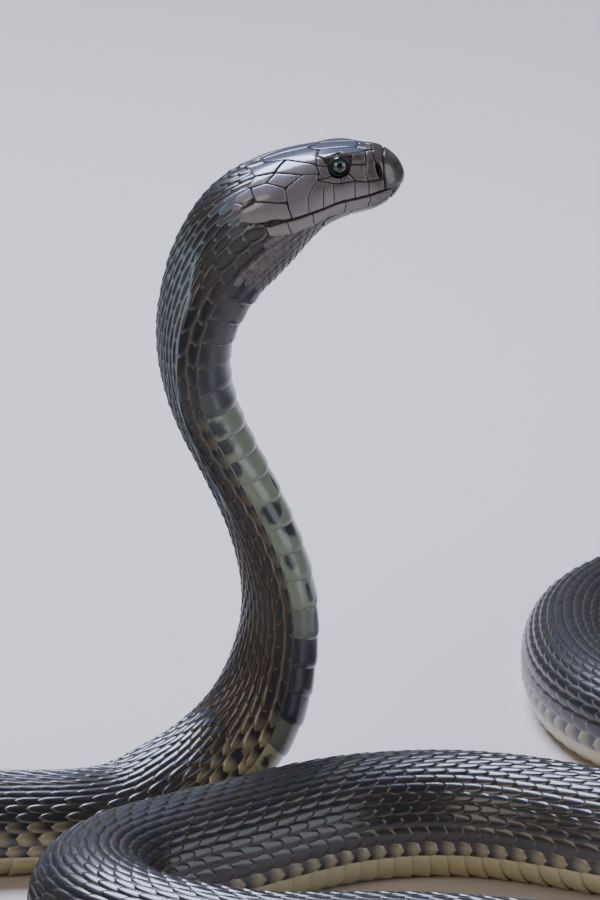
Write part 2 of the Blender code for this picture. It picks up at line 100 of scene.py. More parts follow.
VENT = 1500.0                            # where the tail begins
ALONG_GROUND, COMING_DOWN = 262.0, 30.0  # the body lies from here on, and sinks over this length
LEAN = np.radians(60)                    # the raised part's back leans this far from straight up
LEAN_STARTS, LEAN_ENDS = (10.0, 60.0), (190.0, 250.0)
CURVE_STEP, ROUTE_STEP = 0.25, 1.0       # steps that measure the curve, and steps of the route
print("points chosen for the route:", len(RAISED) + len(LANDING) + len(COILS))


# %% The route as a formula
def spline(knots, rows, at):
    """Natural cubic spline: second slopes m solve the row h0*m0 + 2(h0+h1)*m1 + h1*m2
    = 6*(change of slope), and each stretch is the cubic that has those second slopes."""
    knots, rows = np.asarray(knots, float), np.asarray(rows, float)
    step = np.diff(knots)
    slope = np.diff(rows, axis=0) / step[:, None]
    system = np.eye(len(knots))
    right = np.zeros_like(rows)
    inner = np.arange(1, len(knots) - 1)
    system[inner, inner - 1] = step[:-1]
    system[inner, inner] = 2 * (step[:-1] + step[1:])
    system[inner, inner + 1] = step[1:]
    right[1:-1] = 6 * np.diff(slope, axis=0)
    bend = np.linalg.solve(system, right)
    i = np.clip(np.searchsorted(knots, at, side="right") - 1, 0, len(step) - 1)
    h = step[i][:, None]
    a = (knots[i + 1] - at)[:, None] / h
    b = 1 - a
    return a * rows[i] + b * rows[i + 1] + ((a**3 - a) * bend[i] + (b**3 - b) * bend[i + 1]) * h**2 / 6


def run_along(points):
    """Distance from the first point to each one, over the straight lines between them."""
    return np.concatenate([[0], np.cumsum(np.linalg.norm(np.diff(points, axis=0), axis=1))])


def read_off(at, knots, rows):
    """Each column of the rows at the places at, on straight lines between the knots."""
    return np.stack([np.interp(at, knots, column) for column in rows.T], -1)


def unit(rows):
    """Each row divided by its length."""
    return rows / np.linalg.norm(rows, axis=-1, keepdims=True)


def ease(x, low, high):
    """0 below low and 1 above high, with a smooth step 3t^2 - 2t^3 between."""
    t = np.clip((x - low) / (high - low), 0, 1)
    return t * t * (3 - 2 * t)


def build_at(s):
    """Depth, half width and share above the widest level, at distances s."""
    return spline(BUILD[:, 0], BUILD[:, 1:], s).T


def make_route():
    """Middle line at every millimetre: the points, the way forward, the right side and the back."""
    rough = np.array([(x, NECK_PLANE, z) for x, z in RAISED] + LANDING + [(x, y, 0.0) for x, y in COILS])
    chord = run_along(rough)
    first_coil = len(RAISED) + len(LANDING)
    rough[first_coil:, 2] = build_at(chord[first_coil:])[0] * (0.5 - PRESSED)
    line = spline(chord, rough, np.arange(0, chord[-1], CURVE_STEP))
    length = run_along(line)
    s = np.arange(0.0, length[-1], ROUTE_STEP)
    points = read_off(s, length, line)
    lying = ease(s, ALONG_GROUND - COMING_DOWN, ALONG_GROUND)
    points[:, 2] = points[:, 2] * (1 - lying) + build_at(s)[0] * (0.5 - PRESSED) * lying
    forward = -unit(np.gradient(points, axis=0))
    lean = LEAN * ease(s, *LEAN_STARTS) * (1 - ease(s, *LEAN_ENDS))
    upward = np.outer(np.cos(lean), UP) - np.outer(np.sin(lean), EAST)
    right = unit(np.cross(forward, upward))
    return s, points, forward, right, np.cross(right, forward)


ROUTE = make_route()
LENGTH = ROUTE[0][-1]
print("the animal is", round(LENGTH), "mm long")


# %% The skin as a formula
def skin(s, angle, out=0.0):
    """Points of the skin at distance s and angle round from the middle of the back: half width
    times sin(angle)^(2/power), and the depth over or under the widest level times
    cos(angle)^(2/power). out lifts them."""
    s, angle, out = np.broadcast_arrays(np.asarray(s, float), angle, out)
    at = np.clip(s, 0, LENGTH)
    depth, half, share = (v.reshape(s.shape) for v in build_at(at.ravel()))
    sine, cosine = np.sin(angle), np.cos(angle)
    nose = np.sqrt(1 - (1 - np.clip(s / np.where(cosine > 0, NOSE, CHIN), 0, 1)) ** 2)
    wide = np.sqrt(1 - (1 - np.clip(s / NOSE, 0, 1)) ** 2)
    boxy = 1 - ease(s, *HEAD_TO_BODY)
    power = np.where(cosine > 0, BACK_POWER, BELLY_POWER) * (1 - boxy) + HEAD_POWER * boxy
    across = np.sign(sine) * np.abs(sine) ** (2 / power)
    along = np.sign(cosine) * np.abs(cosine) ** (2 / power)
    tall = np.where(cosine > 0, share, 1 - share) * depth
    sideways = (half * wide + out) * across
    upwards = (tall * nose + out) * along + depth * (0.5 - share)
    place, right, back = (read_off(at, ROUTE[0], rows) for rows in (ROUTE[1], ROUTE[3], ROUTE[4]))
    points = place + unit(right) * sideways[..., None] + unit(back) * upwards[..., None]
    points[..., 2] = np.maximum(points[..., 2], 0.0)
    return points


print("tip of the snout at", skin(0.0, 0.0).round(1))

# %% [markdown]
# ## From arrays to meshes
# Every surface below is a grid of points worked out in one go. One function turns
# such a grid into a mesh, stores what the finish needs to know about each point,
# such as how near it is to the edge of its scale, and lets the piece ride the frame.

# %% Mesh helpers
def linear(hex_colour):
    """sRGB hex to linear light: below 0.04045 divide by 12.92, else ((c + 0.055) / 1.055)^2.4."""
    c = np.array([int(hex_colour[i:i + 2], 16) for i in (1, 3, 5)]) / 255
    c = np.where(c <= 0.04045, c / 12.92, ((c + 0.055) / 1.055) ** 2.4)
    return (*c.tolist(), 1.0)


def grid_quads(patches, rows, columns, wrap=False):
    """Corner numbers of the quads of equal grids, row by row, each grid after the last."""
    i = np.arange(rows - 1)[:, None] * columns
    j = np.arange(columns if wrap else columns - 1)[None, :]
    k = (j + 1) % columns
    one = np.stack([i + j, i + k, i + columns + k, i + columns + j], -1).reshape(-1, 4)
    return (one[None] + np.arange(patches)[:, None, None] * rows * columns).reshape(-1, 4)


def closed_grid(rows, columns, ends=1):
    """Triangles of rings that close on themselves. A fan joins the last ring to one more point,
    and with 2 ends another fan joins the first ring to the point after that."""
    quads = grid_quads(1, rows, columns, wrap=True)
    ring = np.arange(columns)
    after = np.roll(ring, -1)
    last = (rows - 1) * columns
    fans = [np.stack([last + ring, last + after, np.full(columns, rows * columns)], -1),
            np.stack([after, ring, np.full(columns, rows * columns + 1)], -1)]
    return np.vstack([quads[:, [0, 1, 2]], quads[:, [0, 2, 3]]] + fans[:ends])


def turn_round(count):
    """Equal angles all the way round."""
    return np.arange(count) * 2 * np.pi / count


def facing_out(points, faces, inside):
    """Turn all faces round if the sum of normal times (face middle - inside point) is negative."""
    corner = points[faces]
    normal = np.cross(corner[:, 1] - corner[:, 0], corner[:, 2] - corner[:, 0])
    away = corner.mean(axis=1) - inside[faces].mean(axis=1)
    return faces[:, ::-1] if (normal * away).sum() < 0 else faces


def triples(first, second, third):
    """Three shares for each point, as rows of three numbers."""
    return np.stack(np.broadcast_arrays(first, second, third), -1).reshape(-1, 3)


def make_piece(name, points, faces, finish, marks=None, form=None, patch=None):
    """Mesh object from points in route millimetres. marks and form are the three shares of each
    point that its finish reads, and patch is its place on the unwrapped skin."""
    mesh = bpy.data.meshes.new(name)
    mesh.vertices.add(len(points))
    mesh.vertices.foreach_set("co", ((points - MIDDLE) * MM).astype(np.float32).ravel())
    mesh.loops.add(faces.size)
    mesh.loops.foreach_set("vertex_index", faces.ravel().astype(np.int32))
    mesh.polygons.add(len(faces))
    mesh.polygons.foreach_set("loop_start", np.arange(0, faces.size, faces.shape[1], dtype=np.int32))
    mesh.update(calc_edges=True)
    mesh.shade_smooth()
    for label, shares in (("marks", marks), ("form", form)):
        if shares is not None:
            layer = mesh.attributes.new(label, "FLOAT_COLOR", "POINT")
            filled = np.column_stack([shares, np.ones(len(points))])
            layer.data.foreach_set("color", filled.astype(np.float32).ravel())
    if patch is not None:
        layer = mesh.uv_layers.new(name="OFBake")
        layer.data.foreach_set("uv", patch[faces.ravel()].astype(np.float32).ravel())
    mesh.materials.append(finish)
    thing = bpy.data.objects.new(name, mesh)
    bpy.context.scene.collection.objects.link(thing)
    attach(thing, "root")
    print(name, len(faces), "faces")
    return thing


STRIPS, STRIP_EDGE = 6, 0.04   # the unwrapped skin lies in strips with a free edge between them
PATCH = 0.003                  # size of one scale's patch there


def unwrapped(s, angle, local_u, local_v):
    """Place on the unwrapped skin: the root's share of a strip and its share round the body,
    plus a small square for the scale itself."""
    along = s / LENGTH * STRIPS
    strip = np.floor(np.clip(along, 0, STRIPS - 1e-6))
    round_body = STRIP_EDGE + (1 - 2 * STRIP_EDGE) * (angle / (2 * np.pi) % 1.0)
    u = (along - strip) * (1 - 2 * PATCH) + (local_u - 0.5) * PATCH
    v = (strip + round_body) / STRIPS + (local_v - 0.5) * PATCH
    return np.stack([u, v], -1)


print("a patch stands for", round(PATCH * LENGTH / STRIPS, 1), "mm along the body")

# %% [markdown]
# ## Markings
# An adult of this species is dark slate brown above. The rows next to the belly
# plates are ivory with dark roots. The front of the raised neck goes from a brown
# throat over a dark slate band to pale olive plates with dark blotches, then dark
# again, and it is pale yellow where the neck comes down. Skin and scales read these
# markings from one function, and the plates use the same distances.

# %% Markings along and round the body, with painted light on the hood's fold and the neck's lit side
THROAT_END, BAND_END = 66.0, 100.0        # brown throat, then the dark slate band
PALE_END, DARK_END = 163.0, 198.0         # pale olive plates, then dark ones
HOOD = (50.0, 62.0, 128.0, 158.0)         # the spread skin fades in and out here
GOLD, GOLD_ROWS = (112, 150, 226, 262), (20, 45, 96, 110)    # olive gold edges on the neck's side
NAPE, NAPE_ROWS = (30, 38, 46, 60), (20, 40, 84, 100)        # pale blue edges behind the head
DOWN, DOWN_ROWS = (190, 215, 262, 320), (62, 92)             # painted light: the rows on the lit side where the neck comes down are paler
BELLY_SIDE = (86, 112)                    # degrees where the back's colour turns into the belly's
FRONT_PALE, DOWN_LIGHT, NAPE_BLUE, HOOD_BLUE = 0.30, 0.75, 0.76, 0.6
RIDGE = np.array([  # the painted highlight along the hood's fold lies here: distance and degrees
    (50, 48), (57, 56), (70, 80), (85, 87), (102, 76), (116, 66), (135, 58),
])
HIGHLIGHT_WIDTH = 4                            # degrees over which the painted highlight fades


def window(s, low, full, ending, gone):
    """0, rising to 1 between low and full, and falling to 0 between ending and gone."""
    return ease(s, low, full) * (1 - ease(s, ending, gone))


def behind_fold(s, degrees):
    """1 on the hood's back, up to the fold where the highlight is painted, and 0 in front of it."""
    fold_light = np.interp(s, *RIDGE.T)
    return window(s, *HOOD) * (1 - ease(degrees, fold_light - 3, fold_light + 5))


def fold_highlight(s, degrees):
    """Painted highlight along the hood's fold: e to the minus square of the distance from it over its width.
    """
    return window(s, *HOOD) * np.exp(-((degrees - np.interp(s, *RIDGE.T)) / HIGHLIGHT_WIDTH) ** 2)


def markings(s, angle):
    """Shares of ivory, of gold and of pale blue at a place on the body; the ivory share also paints light on
    the neck's side where it comes down.
    """
    degrees = np.abs(np.degrees((angle + np.pi) % (2 * np.pi) - np.pi))
    front = FRONT_PALE * window(s, BAND_END - 4, BAND_END + 6, PALE_END - 4, PALE_END + 4)
    pale = ease(degrees, *BELLY_SIDE) * (front + ease(s, DARK_END - 8, DARK_END + 6))
    # painted light: the side rows where the neck comes down are paled towards ivory
    lit = window(s, *DOWN) * ease(degrees, *DOWN_ROWS) * DOWN_LIGHT
    gold = window(s, *GOLD) * window(degrees, *GOLD_ROWS)
    nape = NAPE_BLUE * window(s, *NAPE) * window(degrees, *NAPE_ROWS)
    blue = np.maximum(HOOD_BLUE * behind_fold(s, degrees), nape)
    return np.stack([np.clip(np.maximum(pale, lit), 0, 1), gold, blue], -1)


print("ivory, gold and blue on the hood's back:", markings(90.0, 0.5).round(2))

# %% [markdown]
# ## Finishes
# The horn of a snake's scale is keratin, like a fingernail: clear, smooth and glossy,
# with the colour under it. In this species the scales have no keel. So each finish
# has one gloss for the whole surface and only its colour changes from place to place.
# The pattern inside a scale follows the scale: a dark middle and a paler free edge.
# The grain of real horn is too fine to show, so it is drawn coarser and faint, with
# features of 0.45 to 0.9 mm.

# %% A helper that adds one node
def add(tree, kind, inputs=None, **settings):
    """Add a node, set its properties, and fill its sockets with links, hex colours or numbers."""
    made = tree.nodes.new(kind)
    for key, value in settings.items():
        setattr(made, key, value)
    for socket, value in (inputs or {}).items():
        if isinstance(value, bpy.types.NodeSocket):
            tree.links.new(value, made.inputs[socket])
        else:
            made.inputs[socket].default_value = linear(value) if isinstance(value, str) else value
    return made


# %% What all finishes share
def new_finish(name, roughness, ior=1.55, coat=0.0, named=None, grains=None):
    """Principled finish and the shares that its colours can follow. named lists what the shares
    of marks and form are called here, and grains gives noises by size in mm and detail."""
    made = bpy.data.materials.new(name)
    made.use_nodes = True
    tree = made.node_tree
    gloss = {"Roughness": roughness, "IOR": ior, "Coat Weight": coat, "Coat Roughness": 0.08}
    for socket, value in gloss.items():
        tree.nodes["Principled BSDF"].inputs[socket].default_value = value
    at = {}
    for label, names in (named or {}).items():
        stored = add(tree, "ShaderNodeAttribute", attribute_name=label)
        split = add(tree, "ShaderNodeSeparateColor", {0: stored.outputs["Color"]})
        at.update(zip(names, split.outputs))
    if grains:
        place = add(tree, "ShaderNodeTexCoord").outputs["Object"]
        for label, (size, detail) in grains.items():
            noise = {"Vector": place, "Scale": 1 / MM / size, "Detail": detail}
            at[label] = add(tree, "ShaderNodeTexNoise", noise).outputs[0]
    return made, at


def layered(tree, base, layers):
    """Lay colours over a base one by one: base*(1 - t) + colour*t, t being the product of the
    two shares given with the colour."""
    for first, second, colour in layers:
        shown = add(tree, "ShaderNodeMath", {0: first, 1: second}, operation="MULTIPLY", use_clamp=True)
        mixed = add(tree, "ShaderNodeMix", {0: shown.outputs[0], 6: base, 7: colour}, data_type="RGBA")
        base = mixed.outputs[2]
    return base


def dress(made, base, fine, strength, depth):
    """Give a finish its colour, and a fine relief of a depth in millimetres."""
    tree, shader = made.node_tree, made.node_tree.nodes["Principled BSDF"]
    raised = add(tree, "ShaderNodeBump", {"Height": fine, "Strength": strength, "Distance": depth * MM})
    tree.links.new(base, shader.inputs["Base Color"])
    tree.links.new(raised.outputs[0], shader.inputs["Normal"])
    print("finish:", made.name)
    return made


# %% Finishes of the back and the belly
def back_scale_finish():
    """Back and side scales: dark slate to brown, tan free edges, ivory near the belly, and a painted
    highlight along the hood's fold.
    """
    named = {"marks": ("ivory", "gold", "blue"), "form": ("rim", "along", "tone")}
    grains = {"cloud": (2.5, 3.0), "fine": (0.5, 3.0)}
    made, at = new_finish("keratin_back_scales", 0.30, coat=0.28, named=named, grains=grains)
    tree = made.node_tree
    # painted highlight along the hood's fold: where the blue share is over 0.70, and faintly on the nape's
    # pale edges
    fold_light = add(tree, "ShaderNodeMapRange", {0: at["blue"], 1: 0.70, 2: 1.0}, clamp=True).outputs[0]
    past_root = add(tree, "ShaderNodeMapRange", {0: at["along"], 1: 0.42, 2: 0.75}, clamp=True).outputs[0]
    base = layered(tree, "#14161b", [
        (at["tone"], 1.0, "#2a221b"), (at["cloud"], 0.22, "#44454e"), (at["rim"], 0.52, "#857c5e"),
        # the blue edges and the fold's pale blue also carry the painted highlight along the hood's fold
        (at["gold"], at["rim"], "#7f6b3e"), (at["blue"], at["rim"], "#8fb0c4"), (fold_light, 0.85, "#9db9c8"),
        # the ivory share also carries the painted light on the side where the neck comes down
        (at["ivory"], past_root, "#a89e76"),
    ])
    return dress(made, base, at["fine"], 0.15, 0.05)


def belly_finish():
    """Belly plates: ivory yellow, pale olive on the neck, with dark blotches and front edges."""
    named = {"marks": ("ivory", "olive", "blotch"), "form": ("rim", "tone")}
    grains = {"cloud": (3.0, 3.0), "fine": (0.8, 3.0)}
    made, at = new_finish("keratin_belly_plates", 0.28, coat=0.2, named=named, grains=grains)
    tree = made.node_tree
    ragged = add(tree, "ShaderNodeMath", {0: at["cloud"], 1: 0.8, 2: at["blotch"]}, operation="MULTIPLY_ADD")
    stain = add(tree, "ShaderNodeMapRange", {0: ragged.outputs[0], 1: 0.62, 2: 0.86}, clamp=True).outputs[0]
    dark = layered(tree, "#2b3038", [(at["tone"], 1.0, "#3c3a3c")])
    pale = layered(tree, "#aaa27e", [(at["olive"], 1.0, "#7f8a76")])
    base = layered(tree, dark, [
        (at["ivory"], 1.0, pale), (stain, 0.9, "#20242a"), (at["rim"], 0.35, "#6b6a5c"),
    ])
    return dress(made, base, at["fine"], 0.12, 0.05)


BACK_SCALES = back_scale_finish()
BELLY_PLATES = belly_finish()


# %% Finishes of the head and the bare skin
def head_finish():
    """Head shields: taupe grey, darker and browner on the snout, paler on the lips, with painted shade in the
    mouth's line and the nostril.
    """
    named = {"marks": ("snout", "lip", "crown"), "form": ("rim", "hollow", "tone")}
    grains = {"cloud": (2.2, 4.0), "mottle": (1.6, 4.0), "fine": (0.45, 3.0)}
    made, at = new_finish("keratin_head_shields", 0.27, coat=0.5, named=named, grains=grains)
    tree = made.node_tree
    mottle = {0: at["mottle"], 1: 0.46, 2: 0.66, 4: 0.60}
    stain = add(tree, "ShaderNodeMapRange", mottle, clamp=True).outputs[0]
    base = layered(tree, "#77717a", [
        (at["tone"], 1.0, "#8b8684"), (at["cloud"], 0.55, "#5a5560"), (at["crown"], 0.85, "#393c4c"),
        (at["snout"], 0.85, "#4c4238"), (at["lip"], 0.7, "#8f8788"), (at["snout"], stain, "#241d1a"),
        # hollow: painted shade, near black, in the mouth's line and the nostril's pit
        (at["rim"], 0.60, "#2b2628"), (at["hollow"], 0.95, "#0f0d0e"),
    ])
    return dress(made, base, at["fine"], 0.2, 0.06)


def skin_finish():
    """Skin between the scales: near black, pale blue where the hood spreads it, brown at the throat, with a
    painted highlight along the hood's fold.
    """
    named = {"marks": ("ivory", "throat", "blue")}
    made, at = new_finish("soft_skin", 0.55, named=named, grains={"fine": (0.9, 3.0)})
    base = layered(made.node_tree, "#15161a", [
        (at["ivory"], 1.0, "#86806a"), (at["throat"], 1.0, "#2e2621"), (at["blue"], 1.0, "#9db8c8"),
    ])
    return dress(made, base, at["fine"], 0.3, 0.1)


HEAD_SHIELDS = head_finish()
SOFT_SKIN = skin_finish()

# %% [markdown]
# ## The head's own relief
# The section alone gives a smooth, blunt head. The mouth, the nostril, the brow over
# the eye, the hollow in front of it and the bulge of the cheek are added as heights
# that lift or sink the surface. Skin and shields use the same heights.

# %% Relief of the head
MOUTH = np.array([  # x and height of the mouth's line, from its corner to the front
    (-17.0, 187.0), (-12.7, 186.6), (-8.3, 187.1), (-1.2, 188.2), (3.0, 189.2), (6.2, 189.9), (9.2, 190.9),
    (12.0, 191.7), (15.3, 192.1), (19.2, 192.8), (22.6, 193.8), (26.0, 194.3), (34.0, 194.9),
])
MOUTH_FADE = 3.0                # from the mouth's corner its forms grow over this length
LIP, LIP_STEP = 0.5, 0.3        # the lower jaw lies this far inside the upper lip, and the step's height
GROOVE_DEPTH, GROOVE_WALL = 1.2, (0.15, 0.60)    # depth of the mouth's line, and where its wall stands
NO_MOUTH = 9.0                  # the height that counts as far from the mouth
EYE_PLACE, EYE_RADIUS, EYE_SIDE = (10.7, 201.5), 2.9, 7.1
EYE_OPENING = 2.75              # radius of the skin's edge round the eye
SOCKET_DEPTH, SOCKET_WALL = 2.6, (-0.35, 0.25)   # depth of the socket, and its wall about that edge
CROWN_EDGE = 25                 # degrees: the socket doesn't reach the crown
NOSTRIL = (6.2, 72.0)           # distance and degrees of the nostril
NOSTRIL_HALF = (0.9, 15.0)      # its half length in mm and half height in degrees
NOSTRIL_DEPTH = 1.5
FORMS = [  # height, place and spread (mm and degrees) of brow, hollow before the eye, and cheek
    (1.0, (17.0, 37.0), (5.5, 11.0)), (-0.5, (11.5, 64.0), (3.0, 14.0)), (0.5, (36.0, 72.0), (7.0, 18.0)),
]
RELIEF_ENDS = (46, 56)          # behind the head the relief fades out


def squared_reach(first, second, place, spread):
    """Square of the distance from a place, with the spread as the unit in both directions."""
    return ((first - place[0]) / spread[0]) ** 2 + ((second - place[1]) / spread[1]) ** 2


def above_mouth(points):
    """Height over the mouth's line in millimetres; far away behind its corner."""
    height = points[..., 2] - np.interp(points[..., 0], MOUTH[:, 0], MOUTH[:, 1])
    return np.where(points[..., 0] < MOUTH[0, 0], NO_MOUTH, height)


def relief(s, angle):
    """Height of the head's forms over the plain section, in millimetres. A form is its height
    times e to the minus squared reach, and lip, groove, nostril and socket are smooth steps."""
    degrees = np.abs(np.degrees(angle))
    plain = skin(s, angle)
    height = above_mouth(plain)
    fade = ease(plain[..., 0], MOUTH[0, 0], MOUTH[0, 0] + MOUTH_FADE)
    out = sum(high * np.exp(-squared_reach(s, degrees, place, spread)) for high, place, spread in FORMS)
    out -= LIP * ease(-height, 0.0, LIP_STEP) * fade
    out -= GROOVE_DEPTH * (1 - ease(np.abs(height), *GROOVE_WALL)) * fade
    out -= NOSTRIL_DEPTH * (1 - ease(squared_reach(s, degrees, NOSTRIL, NOSTRIL_HALF), 0.25, 1.25))
    from_eye = np.hypot(plain[..., 0] - EYE_PLACE[0], plain[..., 2] - EYE_PLACE[1]) - EYE_OPENING
    out -= SOCKET_DEPTH * (1 - ease(from_eye, *SOCKET_WALL)) * (degrees > CROWN_EDGE)
    return out * (1 - ease(s, *RELIEF_ENDS))


print("relief over the brow:", round(float(relief(17.0, np.radians(37.0))), 2), "mm")

# %% [markdown]
# ## The one skin
# The skin takes the place of all the lengths of flesh, so that no cut shows. It lies
# 0.45 mm deeper than the solids, the thickness of the horn that lies over it. The
# grid is fine on the head and coarser along the body, where scales cover it.

# %% Skin
COVER = 0.45                    # the skin lies this deep under the horn
AROUND = 144                    # points round one ring
NOSE_RINGS = 14                 # rings over the rounding of the snout
HEAD_STEP, BODY_STEP, HEAD_SKIN = 0.4, 4.0, 60.0   # ring spacing to the end of the head, and behind it


def make_skin():
    """Rings of the section at rising distances, closed at the snout and at the tail's tip."""
    turn = np.linspace(0.05, 1, NOSE_RINGS) * np.pi / 2
    s = np.concatenate([
        NOSE * (1 - np.cos(turn)), np.arange(NOSE + HEAD_STEP, HEAD_SKIN, HEAD_STEP),
        np.arange(HEAD_SKIN, LENGTH - 2, BODY_STEP), [LENGTH - 0.5],
    ])
    at, angle = np.meshgrid(s, turn_round(AROUND) - np.pi, indexing="ij")
    points = skin(at, angle, -COVER * ease(at, 0, 3) + relief(at, angle))
    marks = markings(at, angle)
    degrees = np.abs(np.degrees(angle))
    # painted highlight along the hood's fold, added to the skin's blue share
    marks[..., 2] = np.maximum(marks[..., 2], fold_highlight(at, degrees)) * ease(at, 40, 56)
    throat = (1 - ease(at, THROAT_END - 6, THROAT_END + 10)) * ease(degrees, 84, 100)
    marks[..., 1] = np.clip(throat + (1 - ease(at, 38, 46)) * 0.35, 0, 1)
    middles = points.mean(axis=1)
    ends = middles[[-1, 0]]
    inside = np.vstack([np.repeat(middles, AROUND, axis=0), ends])
    points = np.vstack([points.reshape(-1, 3), ends])
    marks = np.vstack([marks.reshape(-1, 3), marks[[-1, 0], 0]])
    facets = facing_out(points, closed_grid(len(s), AROUND, ends=2), inside)
    body = make_piece("cobra_skin", points, facets, SOFT_SKIN, marks)
    flesh = [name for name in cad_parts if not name.startswith("eye")]
    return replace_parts(body, *flesh)


make_skin()

# %% [markdown]
# ## Scales of the back and sides
# The scales stand in 23 rows on the neck, 21 on the trunk and fewer towards the tail.
# Each is a thin tongue of horn: its root lies under the scale before it and its free
# edge stands a little proud. Neighbouring rows are half a scale apart, which makes the
# slanting columns. One formula bends a small grid into a scale, and all scales are
# worked out together as one array.

# %% Where the scales sit
LOWEST_ROW = 107.0              # degrees from the back's middle to the lowest row's edge
SCALE_START = [(0, 35.0), (10, 36.0), (30, 38.0), (45, 42.5), (62, 44.0), (75, 46.0), (90, 44.5), (108, 42.0)]
REGIONS = [  # from, to, rows on each side of the middle one, step at the start and at the end
    (34.0, 66.0, 11, 3.7, 6.2), (66.0, 210.0, 11, 6.2, 6.7), (210.0, 1290.0, 10, 6.7, 6.7),
    (1290.0, 1500.0, 8, 6.7, 6.2), (1500.0, 1620.0, 5, 5.6, 5.2), (1620.0, 1728.0, 3, 5.2, 3.4),
]
rng = np.random.default_rng(21)


def row_angles(rows):
    """Middle and half width of each row in degrees: rows widen towards the belly by half."""
    width = 1 + 0.5 * (np.arange(rows + 1) / rows) ** 2
    width[0] *= 0.5
    edge = np.cumsum(width) / width.sum() * LOWEST_ROW
    inner = np.concatenate([[0], edge[:-1]])
    middle = np.concatenate([[0], (inner[1:] + edge[1:]) / 2])
    half = np.concatenate([[edge[0]], (edge[1:] - inner[1:]) / 2])
    side = np.arange(1, rows + 1)
    return (np.concatenate([-middle[:0:-1], middle]), np.concatenate([half[:0:-1], half]),
            np.concatenate([-side[::-1], [0], side]))


def scale_places():
    """Distance, angle, half width, step and row number of every scale of back and sides."""
    found = []
    for start, end, rows, first, last in REGIONS:
        count = int(round((end - start) / ((first + last) / 2)))
        share = (np.arange(count) + 0.5) / count
        step = first + (last - first) * share
        s = start + (np.cumsum(step) - step / 2) * (end - start) / step.sum()
        middle, half, row = row_angles(rows)
        at, ring = np.meshgrid(np.arange(count), np.arange(len(middle)), indexing="ij")
        away = s[at] + (row[ring] % 2) * step[at] / 2
        found.append(np.stack([away, middle[ring], half[ring], step[at], row[ring]], -1).reshape(-1, 5))
    found = np.vstack(found)
    begins = np.interp(np.abs(found[:, 1]), *np.array(SCALE_START).T)
    return found[(found[:, 0] > begins) & (found[:, 0] < LENGTH - 4)]


print("places on back and sides:", len(scale_places()))

# %% The shape of one scale, for all of them
SCALE_ROWS, SCALE_COLUMNS = 10, 7      # points along and across one scale
OVERLAP = 1.5                          # length of a scale in steps
LIFT = 0.30                            # height of the free edge over the skin of the solids
SCALE_ROOT = 0.3                       # depth of its root under that
WIDEST, BEHIND = 0.45, 0.62            # shares of its length up to its widest and to its own place
DEEP = -6.0                            # a point this deep tells which way is out


def scale_sheet(places, overlap, plump, lift):
    """Points of every scale. Along it, u runs from root to tip, and the half width follows
    sqrt(1 - (1 - u/0.45)^2) and then a rounded tip; across it the height falls as 1 - |v|^3."""
    u = (np.linspace(0, 1, SCALE_ROWS) ** 0.9)[:, None]
    v = np.linspace(-1, 1, SCALE_COLUMNS)
    root = np.sqrt(1 - (1 - np.clip(u / WIDEST, 0, 1)) ** 2)
    tip = (1 - np.clip((u - 0.5) / 0.5, 0, 1) ** 2.6) ** (1 / 2.2)
    width = np.maximum(root * tip, 0.02)
    s0, a0, half, step = (places[:, k, None, None] for k in range(4))
    overlap, plump, lift = (np.broadcast_to(w, len(places))[:, None, None] for w in (overlap, plump, lift))
    s = s0 + (u - BEHIND) * overlap * step
    angle = np.radians(a0 + v * half * plump * width)
    rise = -SCALE_ROOT + (lift + SCALE_ROOT) * (u ** 1.2 * (1 - 0.5 * ease(u, 0.93, 1.0)))
    out = -COVER + (rise + COVER) * (1 - np.abs(v) ** 3)
    return [np.broadcast_to(w, (len(places), SCALE_ROWS, SCALE_COLUMNS)) for w in (s, angle, out, u, v)]


def make_sheets(name, places, sheet, finish, marks, form):
    """One piece of many small sheets. Each has a place, distance and degrees, and a grid of
    distance, angle and height over the section, with u along it and v across it."""
    s, angle, out, u, v = sheet
    points = skin(s, angle, out).reshape(-1, 3)
    quads = facing_out(points, grid_quads(*s.shape), skin(s, angle, DEEP).reshape(-1, 3))
    patch = unwrapped(places[:, 0, None, None], np.radians(places[:, 1, None, None]), u, v / 2 + 0.5)
    return make_piece(name, points, quads, finish, marks, form, patch.reshape(-1, 2))


print("points in one scale:", SCALE_ROWS * SCALE_COLUMNS)

# %% Scales of the back and sides
NECK = (60, 110, 200, 240)             # here the rows lie a little apart
PLUMP, HOOD_APART, NECK_APART = 1.22, 0.50, 0.10    # width in rows, and less on hood and neck
HOOD_SHORT = 0.45                      # the hood takes this off the overlap
A_MESH = 1700                          # scales in one mesh at most


def make_scales():
    """All scales of back and sides: further apart on the spread hood, each a little different."""
    places = scale_places()
    count = len(places)
    hood = behind_fold(places[:, 0], np.abs(places[:, 1]))
    plump = PLUMP - HOOD_APART * hood - NECK_APART * window(places[:, 0], *NECK)
    lift = LIFT * rng.uniform(0.85, 1.15, count)
    tone = rng.uniform(0, 1, count)
    places[:, 0] += rng.uniform(-0.02, 0.02, count) * places[:, 3]
    s, angle, out, u, v = scale_sheet(places, OVERLAP - HOOD_SHORT * hood, plump, lift)
    out = out + relief(s, angle)
    rim = np.clip(ease(np.abs(v), 0.66, 1.0) * 0.8 + ease(u, 0.88, 1.0), 0, 1)
    form = triples(rim, u, tone[:, None, None]).reshape(s.shape + (3,))
    marks = markings(places[:, 0], np.radians(places[:, 1]))[:, None, None, :] * np.ones_like(form)
    # painted highlight along the hood's fold, added to the scales' blue share
    marks[..., 2] = np.maximum(marks[..., 2], fold_highlight(s, np.abs(np.degrees(angle))))
    order = np.argsort(places[:, 0], kind="stable")
    for number, pick in enumerate(np.array_split(order, int(np.ceil(count / A_MESH)))):
        sheet = [part[pick] for part in (s, angle, out, u, v)]
        make_sheets(f"back_scales_{number + 1}", places[pick], sheet, BACK_SCALES,
                    marks[pick].reshape(-1, 3), form[pick].reshape(-1, 3))


make_scales()

